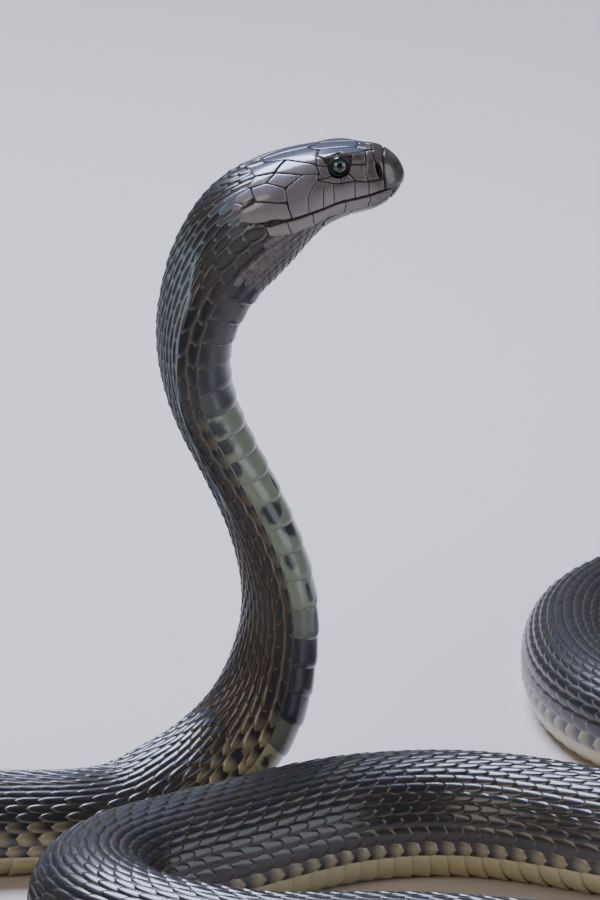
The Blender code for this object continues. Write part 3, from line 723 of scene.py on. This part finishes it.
# %% [markdown]
# ## Belly plates
# Under the body lies one wide plate for each pair of ribs, 6.7 mm long on the trunk
# and a little longer on the stretched neck. Each overlaps the next like a roof tile,
# and its free edge bows towards the tail. Under the tail the plates stand in pairs.

# %% Belly plates
NECK_PLATE, TRUNK_PLATE, TAIL_PLATE = 7.7, 6.7, 5.5
NECK_PLATES = 23                       # plates on the stretched neck
PLATE_ROWS, PLATE_COLUMNS = 9, 33
PLATE_EDGE = 104.0                     # degrees from the back's middle to a plate's end
TAIL_LAP = 2.0                         # degrees by which a pair under the tail crosses the middle
BOW = 1.4                              # how far the free edge bows back, in mm
PLATE_LIFT, PLATE_ROOT = 0.35, 0.40    # height of the free edge, and depth of the root
PLATE_COVER = COVER + 0.1              # depth of a plate's two ends
OLIVE_ENDS = (185, 215)                # the neck's olive turns into ivory here
BLOTCHED = (96, 104, 220, 300)         # the blotches fade in and out over these distances
BLOTCH = [(0.10, 0.95), (0.08, 0.30), (0.2, 0.7), (0.45, 1.0)]  # place across, spread, place along, strength
BLOTCH_LENGTH = 0.30                   # its spread along a plate, in shares of the plate


def plate_fronts():
    """Where each plate starts and how long it is: the neck's plates, then the trunk's to the vent."""
    neck = HEAD_END + np.arange(NECK_PLATES) * NECK_PLATE
    trunk = np.arange(neck[-1] + NECK_PLATE, VENT, TRUNK_PLATE)
    return np.concatenate([neck, trunk]), np.repeat([NECK_PLATE, TRUNK_PLATE], [NECK_PLATES, len(trunk)])


def plate_sheet(front, size, low, high):
    """Plates from angle low to high: the middle of each bows back by BOW*(1 - v^2), and the
    height rises from the root to the free edge and drops at both ends."""
    u = np.concatenate([np.linspace(0, 0.9, PLATE_ROWS - 2), [0.97, 1.0]])[:, None]
    v = np.linspace(-1, 1, PLATE_COLUMNS)
    size = np.broadcast_to(size, len(front))[:, None, None]
    s = front[:, None, None] + (u * 1.32 - 0.25) * size + BOW * (1 - v**2) - BOW / 2
    angle = np.radians((low + high) / 2) + np.radians((high - low) / 2) * v
    rise = -PLATE_ROOT + (PLATE_LIFT + PLATE_ROOT) * u**1.1 * (1 - 0.5 * ease(u, 0.93, 1.0))
    out = -PLATE_COVER + (rise + PLATE_COVER) * (1 - np.abs(v) ** 10)
    return [np.broadcast_to(w, s.shape) for w in (s, angle, out, u, v)]


def make_plates(name, front, size, low, high):
    """A plate from each front, with a soft blotch at a random place on those of the neck."""
    sheet = plate_sheet(front, size, low, high)
    u, v = sheet[3:]
    one = (len(front), 1, 1)
    at = front.reshape(one)
    olive_part = window(at, BAND_END - 6, BAND_END + 4, PALE_END, PALE_END + 6)
    ivory = np.clip(olive_part + ease(at, DARK_END - 6, DARK_END + 4), 0, 1)
    place, spread, back, strength = (rng.uniform(*ends, one) for ends in BLOTCH)
    spot = np.exp(-squared_reach(np.abs(v), u, (place, back), (spread, BLOTCH_LENGTH))) * strength
    marks = triples(ivory, 1 - ease(at, *OLIVE_ENDS), window(at, *BLOTCHED) * spot)
    form = triples(ease(u, 0.90, 1.0), rng.uniform(0, 1, one), 0.0)
    places = np.column_stack([front, np.full(len(front), (low + high) / 2)])
    return make_sheets(name, places, sheet, BELLY_PLATES, marks, form)


make_plates("belly_plates", *plate_fronts(), PLATE_EDGE, 360 - PLATE_EDGE)
pairs = np.arange(VENT, LENGTH - 12, TAIL_PLATE)
make_plates("tail_plates_right", pairs, TAIL_PLATE, PLATE_EDGE, 180 + TAIL_LAP)
make_plates("tail_plates_left", pairs + TAIL_PLATE / 2, TAIL_PLATE, 180 - TAIL_LAP, 360 - PLATE_EDGE)

# %% [markdown]
# ## Throat scales
# Between the chin shields and the first belly plate the throat has small slanting
# scales. They lie flat and leave dark lines between them, so that the skin can
# stretch over a swallowed animal.

# %% Throat scales
THROAT = (22.0, 60.0, 3.6, 9.0)        # from, to, step and degrees between rows
THROAT_EDGES = (99.0, 261.0)
JAW_REACH = [  # degrees off the middle, and the distance where the jaw's shields end
    (0, 26.0), (50, 26.0), (58, 28.5), (70, 36.0), (81, 41.5),
]
THROAT_SHAPE = (1.35, 1.12, 0.10)      # overlap, width in rows, and lift
NECK_ROWS, NECK_START = 73, 46.0       # further off the middle the neck's own scales begin here


def make_throat():
    """Small flat scales from the jaw's shields to the first belly plate."""
    start, end, step, pitch = THROAT
    degrees = np.arange(THROAT_EDGES[0] + pitch / 2, THROAT_EDGES[1], pitch)
    at, ring = np.meshgrid(np.arange(start, end, step), np.arange(len(degrees)), indexing="ij")
    s, middle = (at + (ring % 2) * step / 2).ravel(), degrees[ring].ravel()
    from_middle = np.abs(middle - 180)
    stops = np.where(from_middle > NECK_ROWS, NECK_START, end)
    places = np.column_stack([s, middle, np.full(s.size, pitch / 2), np.full(s.size, step)])
    places = places[(s > np.interp(from_middle, *np.array(JAW_REACH).T)) & (s < stops)]
    s, angle, out, u, v = scale_sheet(places, *THROAT_SHAPE)
    side = 1 - ease(np.abs(np.degrees(angle) - 180), 50, 76)
    rim = np.clip(ease(np.abs(v), 0.6, 1.0) + ease(u, 0.88, 1.0), 0, 1)
    form = triples(rim, 0.0, rng.uniform(0, 1, (len(places), 1, 1)))
    sheet = (s, angle, out + relief(s, angle), u, v)
    return make_sheets("throat_scales", places, sheet, HEAD_SHIELDS,
                       triples(0.50 + 0.20 * side, 0.0, 0.0), form)


make_throat()

# %% [markdown]
# ## Shields of the head
# A cobra's head is covered by large shields with thin dark seams. Each is given by
# its corners on the skin, as distance from the snout in millimetres and degrees from
# the middle of the crown. A shield is then a set of rings that shrink to its middle:
# the outer rings go down into the seam and the inner ones make its slightly domed face.

# %% Corners of the shields
CENTRAL = {  # shields on the middle line, right half, from front to back
    "frontal": [(11.6, 0), (12.4, 12), (17.0, 13), (21.2, 11), (23.6, 0)],
}
PAIRED = {
    "internasal": [(3.2, 0), (6.4, 0), (6.9, 20), (3.5, 13)],
    "prefrontal": [(6.4, 0), (11.6, 0), (12.4, 12), (9.1, 23), (6.9, 20)],
    "supraocular": [(12.4, 12.5), (17.0, 13.5), (21.3, 11.5), (22.0, 26), (20.6, 40), (17.2, 43), (14.0, 40),
                    (9.1, 24)],
    "parietal": [(23.6, 0), (21.4, 11.5), (22.0, 27), (22.4, 46), (25.6, 33), (28.8, 17), (33.4, 6.5),
                 (34.2, 0)],
    "front_temporal": [(22.5, 48), (28.8, 18.5), (31.6, 37), (26.1, 57), (22.3, 63)],
    "middle_temporal": [(34.3, 48), (31.6, 39), (26.2, 58), (30.9, 66)],
    "upper_temporal": [(28.9, 17), (33.6, 7), (37.0, 8), (36.5, 28), (31.8, 36)],
    "rear_temporal": [(31.8, 38), (36.4, 29), (38.6, 42), (34.5, 48)],
    "lower_temporal": [(30.9, 67), (34.4, 48.5), (38.1, 45), (38.5, 58), (38.6, 65), (34.0, 79), (32.0, 82)],
    "round_temporal": [(38.2, 44), (42.0, 43), (43.2, 50), (41.4, 60), (38.6, 59)],
    "upper_postocular": [(20.4, 41), (22.1, 31), (22.4, 48), (19.9, 54), (20.4, 48)],
    "lower_postocular": [(19.9, 55), (22.4, 49), (22.2, 63.5), (22.9, 71.5), (20.9, 72.5), (19.4, 71)],
    "upper_preocular": [(13.7, 39), (9.1, 25), (9.8, 57), (14.1, 56)],
    "lower_preocular": [(14.1, 57), (9.8, 58), (10.3, 76), (9.9, 87), (13.4, 83.7), (14.9, 72)],
    "front_subocular": [(14.9, 73), (17.4, 77), (17.4, 84), (13.6, 83.5)],
    "rear_subocular": [(17.4, 77), (19.4, 72), (20.9, 73), (22.8, 72.3), (21.4, 77.5), (19.3, 82),
                       (17.4, 84)],
    "front_nasal": [(3.5, 14), (6.7, 21), (6.3, 60), (6.2, 87), (5.4, 87), (4.5, 70), (4.0, 48)],
    "rear_nasal": [(6.9, 21), (9.0, 24), (9.7, 57), (10.3, 77), (9.8, 87), (6.4, 87), (6.5, 60)],
    "lip_1": [(5.5, 88), (9.8, 87.5), (10.5, 109), (6.2, 109)],
    "lip_2": [(9.8, 87.5), (13.6, 84), (14.3, 109), (10.5, 109)],
    "lip_3": [(13.6, 84), (17.4, 84.5), (19.3, 82), (20.8, 109), (14.3, 109)],
    "lip_4": [(19.3, 82), (21.4, 77.5), (24.4, 107), (20.8, 109)],
    "lip_5": [(21.4, 77.5), (23.1, 72), (27.3, 90), (29.0, 104), (24.4, 107)],
    "lip_6": [(25.9, 57.5), (22.3, 64), (23.1, 72), (27.3, 90), (29.0, 104), (33.5, 97), (32.1, 84),
              (31.0, 68)],
    "lip_7": [(32.4, 83.5), (34.1, 79.8), (38.6, 66), (43.3, 64), (45.4, 73), (43.5, 85), (38.7, 91),
              (33.6, 97)],
    "neck_side_1": [(39.0, 61), (41.4, 61), (43.3, 52), (45.3, 58), (43.5, 63)],
    "chin_front": [(5.4, 133), (15.6, 131), (16.4, 179), (6.2, 179)],
    "chin_rear": [(15.8, 131), (25.0, 130), (27.0, 150), (25.4, 178), (16.6, 179)],
}
JAW_TIP = [  # the one shield at the tip of the jaw, from its right side to its left
    (3.3, 134), (5.2, 133.5), (6.0, 178), (6.0, 182), (5.2, 226.5), (3.3, 226), (2.2, 210), (1.95, 180),
    (2.2, 150),
]
LOWER_LIP_SEAMS = [3.6, 9.8, 16.8, 27.5, 35.0, 40.5]
LOWER_LIP_TOP = [
    (3.6, 111), (5.6, 107), (7.3, 105.5), (20.8, 107), (24.4, 105.5), (29.1, 102.5), (33.3, 95.5),
    (38.7, 89.5), (43.3, 83),
]
LOWER_LIP_FOOT = [(3.6, 132), (16.8, 131), (28.4, 122), (35.0, 110), (40.5, 97)]
LIP_SLANT = 1.2                        # the foot of a lower lip shield lies this far back


def lower_lip():
    """Corners of the lower lip's shields, between one seam and the next."""
    found = {}
    for number, (a, b) in enumerate(zip(LOWER_LIP_SEAMS[:-1], LOWER_LIP_SEAMS[1:])):
        top = [(x, np.interp(x, *np.array(LOWER_LIP_TOP).T)) for x in (a, (a + b) / 2, b)]
        foot = [(x + LIP_SLANT, np.interp(x, *np.array(LOWER_LIP_FOOT).T)) for x in (b, a)]
        found[f"lower_lip_{number + 1}"] = top + foot
    return found


print("shields on the middle line and in pairs:", len(CENTRAL) + 1, len(PAIRED) + len(lower_lip()))

# %% The shape of one shield
SEAM = 0.05                            # half the width of a seam, in mm
CLEAR = 1.6                            # degrees between a lip shield and the middle of the mouth's line
SHIELD_AROUND = 88                     # points round a shield
SHIELD_RINGS = [  # distance in from the edge and height, both in mm
    (0.0, -0.38), (0.04, -0.10), (0.12, 0.03), (0.30, 0.09), (0.70, 0.12),
]
INNER_SHARES = [0.72, 0.50, 0.28, 0.10]  # further rings, as shares of the last one's reach
FACE, DOME = 0.12, 0.05                # height of a shield's face, and of its dome over that
SHIELD_SINK = 0.05                     # the whole shield lies this much lower


def outline_points(corners, scale):
    """Closed outline through the corners at equal steps, its corners rounded by averaging each
    point with its neighbours. scale turns degrees into millimetres."""
    corners = np.asarray(corners, float) * [1.0, scale]
    loop = np.vstack([corners, corners[:1]])
    length = run_along(loop)
    points = read_off(np.linspace(0, length[-1], SHIELD_AROUND, endpoint=False), length, loop)
    for _ in range(2):
        points = (np.roll(points, 1, axis=0) + 2 * points + np.roll(points, -1, axis=0)) / 4
    return points


def mouth_line():
    """Distances, and the degrees at which the height over the mouth's line changes sign there."""
    s, degrees = np.arange(2.0, 48.0, 0.5), np.arange(80.0, 140.0, 0.25)
    below = above_mouth(skin(s[:, None], np.radians(degrees)[None, :])) < 0
    crossed = below.any(axis=1)
    return s[crossed], degrees[below.argmax(axis=1)][crossed]


MOUTH_LINE = mouth_line()


def clear_of_mouth(s, degrees, upper):
    """Keep an outline on its own side of the mouth; behind the mouth's corner nothing moves."""
    line = np.interp(s, *MOUTH_LINE, right=np.nan)
    size = np.abs(degrees)
    held = np.minimum(size, line - CLEAR) if upper else np.maximum(size, line + CLEAR)
    return np.where(np.isnan(line), degrees, np.sign(degrees) * held)


def shield_sheet(corners, upper):
    """Rings of one shield: each point moves towards the middle by a distance, then by shares."""
    corners = np.asarray(corners, float)
    scale = 0.9 * build_at(np.array([corners[:, 0].mean()]))[1][0] * np.pi / 180
    edge = outline_points(corners, scale)
    edge[:, 1] = clear_of_mouth(edge[:, 0], edge[:, 1] / scale, upper) * scale
    middle = edge.mean(axis=0)
    reach = np.linalg.norm(edge - middle, axis=1, keepdims=True)
    shares = [np.clip(1 - (SEAM + d) / reach, 0.05, 1) for d, _ in SHIELD_RINGS]
    shares += [shares[-1] * k for k in INNER_SHARES]
    heights = [h for _, h in SHIELD_RINGS] + [FACE + DOME * (1 - k) for k in INNER_SHARES]
    plane = np.stack([middle + (edge - middle) * k for k in shares])
    return plane[..., 0], plane[..., 1] / scale, np.repeat(np.array(heights)[:, None], SHIELD_AROUND, axis=1)


print("the mouth's line is known at", len(MOUTH_LINE[0]), "distances")


# %% All shields of the head
def mirrored(corners):
    """The same corners on the other side of the head."""
    return [(s, -a) for s, a in corners][::-1]


def shield_marks(s, flat):
    """Shares of the snout's brown, of the pale lip and of the crown's blue grey."""
    snout = (1 - ease(s, 7, 13)) * (1 - ease(flat, 96, 110) * 0.4)
    brow = window(flat, 28, 35, 47, 52) * window(s, 8, 11, 20, 22.5)
    face = window(flat, 48, 58, 84, 92) * window(s, 8, 11, 21, 27)
    brown = np.maximum.reduce([snout, 0.8 * brow, 0.45 * face])
    return triples(brown, ease(flat, 84, 96) * ease(s, 4, 10), 1 - ease(flat, 26, 48))


def make_shields(name, outlines, upper):
    """All shields of one part of the head in one mesh, each closed by a fan round its middle."""
    facets = closed_grid(len(SHIELD_RINGS) + len(INNER_SHARES), SHIELD_AROUND)
    made = []
    for number, corners in enumerate(outlines):
        s, degrees, height = (np.append(v.ravel(), v[-1].mean()) for v in shield_sheet(corners, upper))
        angle, flat = np.radians(degrees), np.abs(degrees)
        points = skin(s, angle, height - SHIELD_SINK + relief(s, angle))
        faces = facing_out(points, facets, skin(s, angle, -5.0)) + number * len(points)
        pit = squared_reach(s, flat, NOSTRIL, NOSTRIL_HALF)
        from_mouth = np.abs(above_mouth(skin(s, angle)))
        # painted shade: dark along the mouth's line and in the nostril's pit
        hollow = np.maximum(1 - ease(from_mouth, 0.25, 0.75), 1 - ease(pit, 0.4, 1.4))
        form = triples(1 - ease(height, -0.15, 0.02), hollow, rng.uniform(0, 1))
        patch = unwrapped(s.mean(), angle.mean(), *((v - v.min()) / np.ptp(v) for v in (s, angle)))
        made.append((points, faces, shield_marks(s, flat), form, patch))
    points, faces, marks, form, patch = (np.vstack(rows) for rows in zip(*made))
    return make_piece(name, points, faces, HEAD_SHIELDS, marks, form, patch)


upper_outlines = [corners + mirrored([c for c in corners if c[1] > 0]) for corners in CENTRAL.values()]
lower_outlines = [JAW_TIP]
for label, corners in {**PAIRED, **lower_lip()}.items():
    own_list = lower_outlines if label.startswith(("chin", "lower_lip")) else upper_outlines
    own_list.extend([corners, mirrored(corners)])
make_shields("crown_and_lip_shields", upper_outlines, True)
make_shields("jaw_shields", lower_outlines, False)

# %% [markdown]
# ## Tip of the snout
# The rostral shield wraps round the tip of the snout, where all the angles of the
# section meet in one point. An outline with corners would fold there, so this shield
# is a fan of rings round the tip, and its edge is a distance for each angle.

# %% Rostral shield
ROSTRAL_EDGE = [  # degrees from the middle of the crown, and distance
    (0, 3.0), (10, 3.1), (40, 3.6), (60, 4.1), (72, 4.5), (88, 5.3), (104, 6.0), (116, 4.9), (132, 3.4),
    (150, 2.4), (180, 1.9),
]
TIP_AROUND = 120                       # points round one ring
TIP_SHARES = (0.7, 0.45, 0.22, 0.06)   # further rings, as shares of the last one's distance
TIP_PROUD = 0.10                       # the tip stands this far forward


def make_rostral():
    """Rings at falling distances from the tip: reach minus a ring's way in, then shares of that."""
    angle = turn_round(TIP_AROUND) - np.pi
    reach = np.interp(np.abs(np.degrees(angle)), *np.array(ROSTRAL_EDGE).T)
    rows = [(reach - SEAM - d, h) for d, h in SHIELD_RINGS]
    rows += [(rows[-1][0] * k, FACE) for k in TIP_SHARES]
    s = np.stack([np.maximum(distance, 0.005) for distance, _ in rows])
    height = np.repeat(np.array([h for _, h in rows])[:, None], TIP_AROUND, axis=1)
    points = skin(s, angle, (height - SHIELD_SINK) * ease(s, 0.0, 0.8) + relief(s, angle))
    points[..., 0] += TIP_PROUD * (1 - ease(s, 0.0, 2.0))
    points = np.vstack([points.reshape(-1, 3), points[-1].mean(axis=0)])
    inside = np.broadcast_to(skin(9.0, 0.0, -8.0), points.shape)
    facets = facing_out(points, closed_grid(len(rows), TIP_AROUND), inside)
    rim = np.append(1 - ease(height, -0.05, 0.10), 0.0)
    patch = unwrapped(2.0, 0.0, np.linspace(0, 1, len(points)), rim)
    marks, form = triples(1.0, 0.0, np.zeros_like(rim)), triples(rim, 0.0, 0.4)
    return make_piece("rostral_shield", points, facets, HEAD_SHIELDS, marks, form, patch)


make_rostral()

# %% [markdown]
# ## Eyes
# A snake has no lids. A clear scale covers the eyeball, so the eye always looks wet.
# The ball is one fine sphere whose colour follows the angle from its own axis: a round
# black pupil, a pale ring round it, and a teal black iris with faint streaks. A thin
# tube of horn closes the gap between the ball and the shields.

# %% Eye finish
IRIS = [  # share of the quarter turn from the axis, and colour
    (0.0, "#020304"), (0.235, "#020304"), (0.265, "#7f9190"), (0.31, "#3a5254"), (0.42, "#0e2427"),
    (0.60, "#0a181b"), (1.0, "#05090b"),
]


def eye_finish():
    """Wet eye: rings of colour, fine streaks over the iris, and a clean black pupil."""
    named, grains = {"form": ("from_axis",)}, {"streaks": (0.5, 2.0)}
    made, at = new_finish("clear_eye_scale", 0.04, ior=1.45, coat=1.0, named=named, grains=grains)
    tree = made.node_tree
    ramp = add(tree, "ShaderNodeValToRGB", {0: at["from_axis"]})
    for _ in IRIS[2:]:
        ramp.color_ramp.elements.new(0.5)
    for element, (place, colour) in zip(ramp.color_ramp.elements, IRIS):
        element.position = place
        element.color = linear(colour)
    streaked = layered(tree, ramp.outputs[0], [(at["streaks"], 0.35, "#16393d")])
    iris = add(tree, "ShaderNodeMapRange", {0: at["from_axis"], 1: 0.22, 2: 0.27}, clamp=True).outputs[0]
    base = layered(tree, "#020304", [(iris, 1.0, streaked)])
    tree.links.new(base, tree.nodes["Principled BSDF"].inputs["Base Color"])
    print("finish:", made.name)
    return made


EYE_FINISH = eye_finish()

# %% Eyeballs and their rims
EYE_AROUND, EYE_RISE = 64, 40          # points round the axis, and from pole to pole
EYE_TURN = np.radians(12)              # the eye's axis looks a little forwards
EYE_LIFT = 0.12                        # and a little up
RIM_POLAR = np.radians(68)             # angle between the axis and the rim
RIM_RADIUS, RIM_SIDES = 0.30, 10


def eye_axes(side):
    """Middle of the eyeball, the way it looks, and two directions across that."""
    axis = unit(np.array([np.sin(EYE_TURN), side * np.cos(EYE_TURN), EYE_LIFT]))
    first = unit(np.cross(axis, UP))
    centre = np.array([EYE_PLACE[0], NECK_PLANE + side * EYE_SIDE, EYE_PLACE[1]])
    return centre, axis, first, np.cross(axis, first)


def make_rim(name, side):
    """Thin tube round the eye: a circle on the ball, and a small circle round each of its points."""
    centre, axis, first, second = eye_axes(side)
    t, turn = turn_round(EYE_AROUND)[:, None, None], turn_round(RIM_SIDES)[:, None]
    outward = np.cos(t) * first + np.sin(t) * second
    middle = centre + EYE_RADIUS * (np.cos(RIM_POLAR) * axis + np.sin(RIM_POLAR) * outward)
    points = middle + RIM_RADIUS * (np.cos(turn) * outward + np.sin(turn) * axis)
    inside = np.broadcast_to(middle, points.shape).reshape(-1, 3)
    points = points.reshape(-1, 3)
    ring, corner = np.arange(EYE_AROUND)[:, None] * RIM_SIDES, np.arange(RIM_SIDES)
    after, beside = np.roll(ring, -1, axis=0), np.roll(corner, -1)
    quads = np.stack([ring + corner, ring + beside, after + beside, after + corner], -1).reshape(-1, 4)
    half = np.full(len(points), 0.5)
    facets = facing_out(points, quads, inside)
    patch = unwrapped(17.0, -side, half, half)
    # the tube round the eye takes 0.3 of the painted shade of the hollows
    return make_piece(name + "_rim", points, facets, HEAD_SHIELDS,
                      triples(1.0, 0.0, 0 * half), triples(0.5, 0.3, half), patch)


def make_eye(name, side):
    """Ball: cos(p) times the axis plus sin(p) times the way out from it, p being the angle between."""
    polar = np.linspace(0.0, np.pi, EYE_RISE)[1:-1]
    p, t = polar[:, None, None], turn_round(EYE_AROUND)[:, None]
    centre, axis, first, second = eye_axes(side)
    ball = np.cos(p) * axis + np.sin(p) * (np.cos(t) * first + np.sin(t) * second)
    points = centre + EYE_RADIUS * np.vstack([ball.reshape(-1, 3), -axis, axis])
    facets = closed_grid(len(polar), EYE_AROUND, ends=2)
    facets = facing_out(points, facets, np.broadcast_to(centre, points.shape))
    from_axis = np.append(np.repeat(polar, EYE_AROUND), [np.pi, 0.0]) / (np.pi / 2)
    form = triples(np.clip(from_axis, 0, 1), 0.0, 0.0)
    eye = make_piece(name + "_ball", points, facets, EYE_FINISH, form=form)
    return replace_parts(eye, name)


for label, side in (("eye_right", -1), ("eye_left", 1)):
    make_eye(label, side)
    make_rim(label, side)

# %% [markdown]
# ## Stage, light and camera
# A big soft light overhead and a little behind gives the cool gloss along the crown
# and the backs of the coils. A warmer, weaker one from the front left and a faint one
# from the right show the colours in the shade. The camera stands 18 degrees above the
# horizon and 3 m away, which gives the photo's flat perspective.

# %% Stage and light
FLOOR_HALF = 6.0                       # metres from the middle to each edge
HEART = (0.0, 0.0, 0.10)               # the lights aim here, in metres
LIGHTS = [  # name, place and size in metres, watts, colour
    ("sky_light", (-0.35, 0.55, 1.15), 0.8, 44.0, "#cfdcff"),
    ("front_fill", (-0.9, -1.3, 0.9), 1.2, 10.0, "#ffeedd"),
    ("right_fill", (1.2, -0.6, 0.5), 1.0, 6.0, "#e8ecff"),
]


def make_floor():
    """One big square at height 0."""
    mesh = bpy.data.meshes.new("studio_floor")
    corners = [(x * FLOOR_HALF, y * FLOOR_HALF, 0.0) for x, y in ((-1, -1), (1, -1), (1, 1), (-1, 1))]
    mesh.from_pydata(corners, [], [(0, 1, 2, 3)])
    floor = bpy.data.objects.new("studio_floor", mesh)
    bpy.context.scene.collection.objects.link(floor)
    plaster = new_finish("matt_plaster_floor", 0.9)[0]
    plaster.node_tree.nodes["Principled BSDF"].inputs["Base Color"].default_value = linear("#cfc4ba")
    mesh.materials.append(plaster)


def soft_light(name, place, size, power, colour):
    """Round area light that looks at the snake."""
    light = bpy.data.lights.new(name, "AREA")
    light.shape = "DISK"
    light.size = size
    light.energy = power
    light.color = linear(colour)[:3]
    lamp = bpy.data.objects.new(name, light)
    bpy.context.scene.collection.objects.link(lamp)
    lamp.location = place
    lamp.rotation_euler = (Vector(HEART) - Vector(place)).to_track_quat("-Z", "Y").to_euler()


make_floor()
for light_row in LIGHTS:
    soft_light(*light_row)
world = bpy.data.worlds.new("studio_world")
bpy.context.scene.world = world
world.use_nodes = True
world.node_tree.nodes["Background"].inputs[0].default_value = linear("#c9cdd4")
world.node_tree.nodes["Background"].inputs[1].default_value = 0.20
print("lights:", len(LIGHTS))

# %% Camera at the photo's angle
ELEVATION = np.radians(18)
DISTANCE = 3000.0                      # mm
PIXEL = 0.28                           # one picture pixel at the model, in mm
PICTURE_HEIGHT = 900
AIM = np.array([0.0, 0.0, 122.2]) - MIDDLE    # the picture's middle, on the route's own axes
SENSOR = 36.0

look = np.array([0.0, np.cos(ELEVATION), -np.sin(ELEVATION)])
camera_data = bpy.data.cameras.new("camera")
camera_data.sensor_fit = "VERTICAL"
camera_data.sensor_height = SENSOR
camera_data.lens = SENSOR * DISTANCE / PIXEL / PICTURE_HEIGHT
camera_data.clip_end = 50.0
camera = bpy.data.objects.new("camera", camera_data)
bpy.context.scene.collection.objects.link(camera)
camera.location = ((AIM - look * DISTANCE) * MM).tolist()
camera.rotation_euler = Vector(look).to_track_quat("-Z", "Y").to_euler()
bpy.context.scene.camera = camera
print("lens", round(camera_data.lens, 1), "mm")
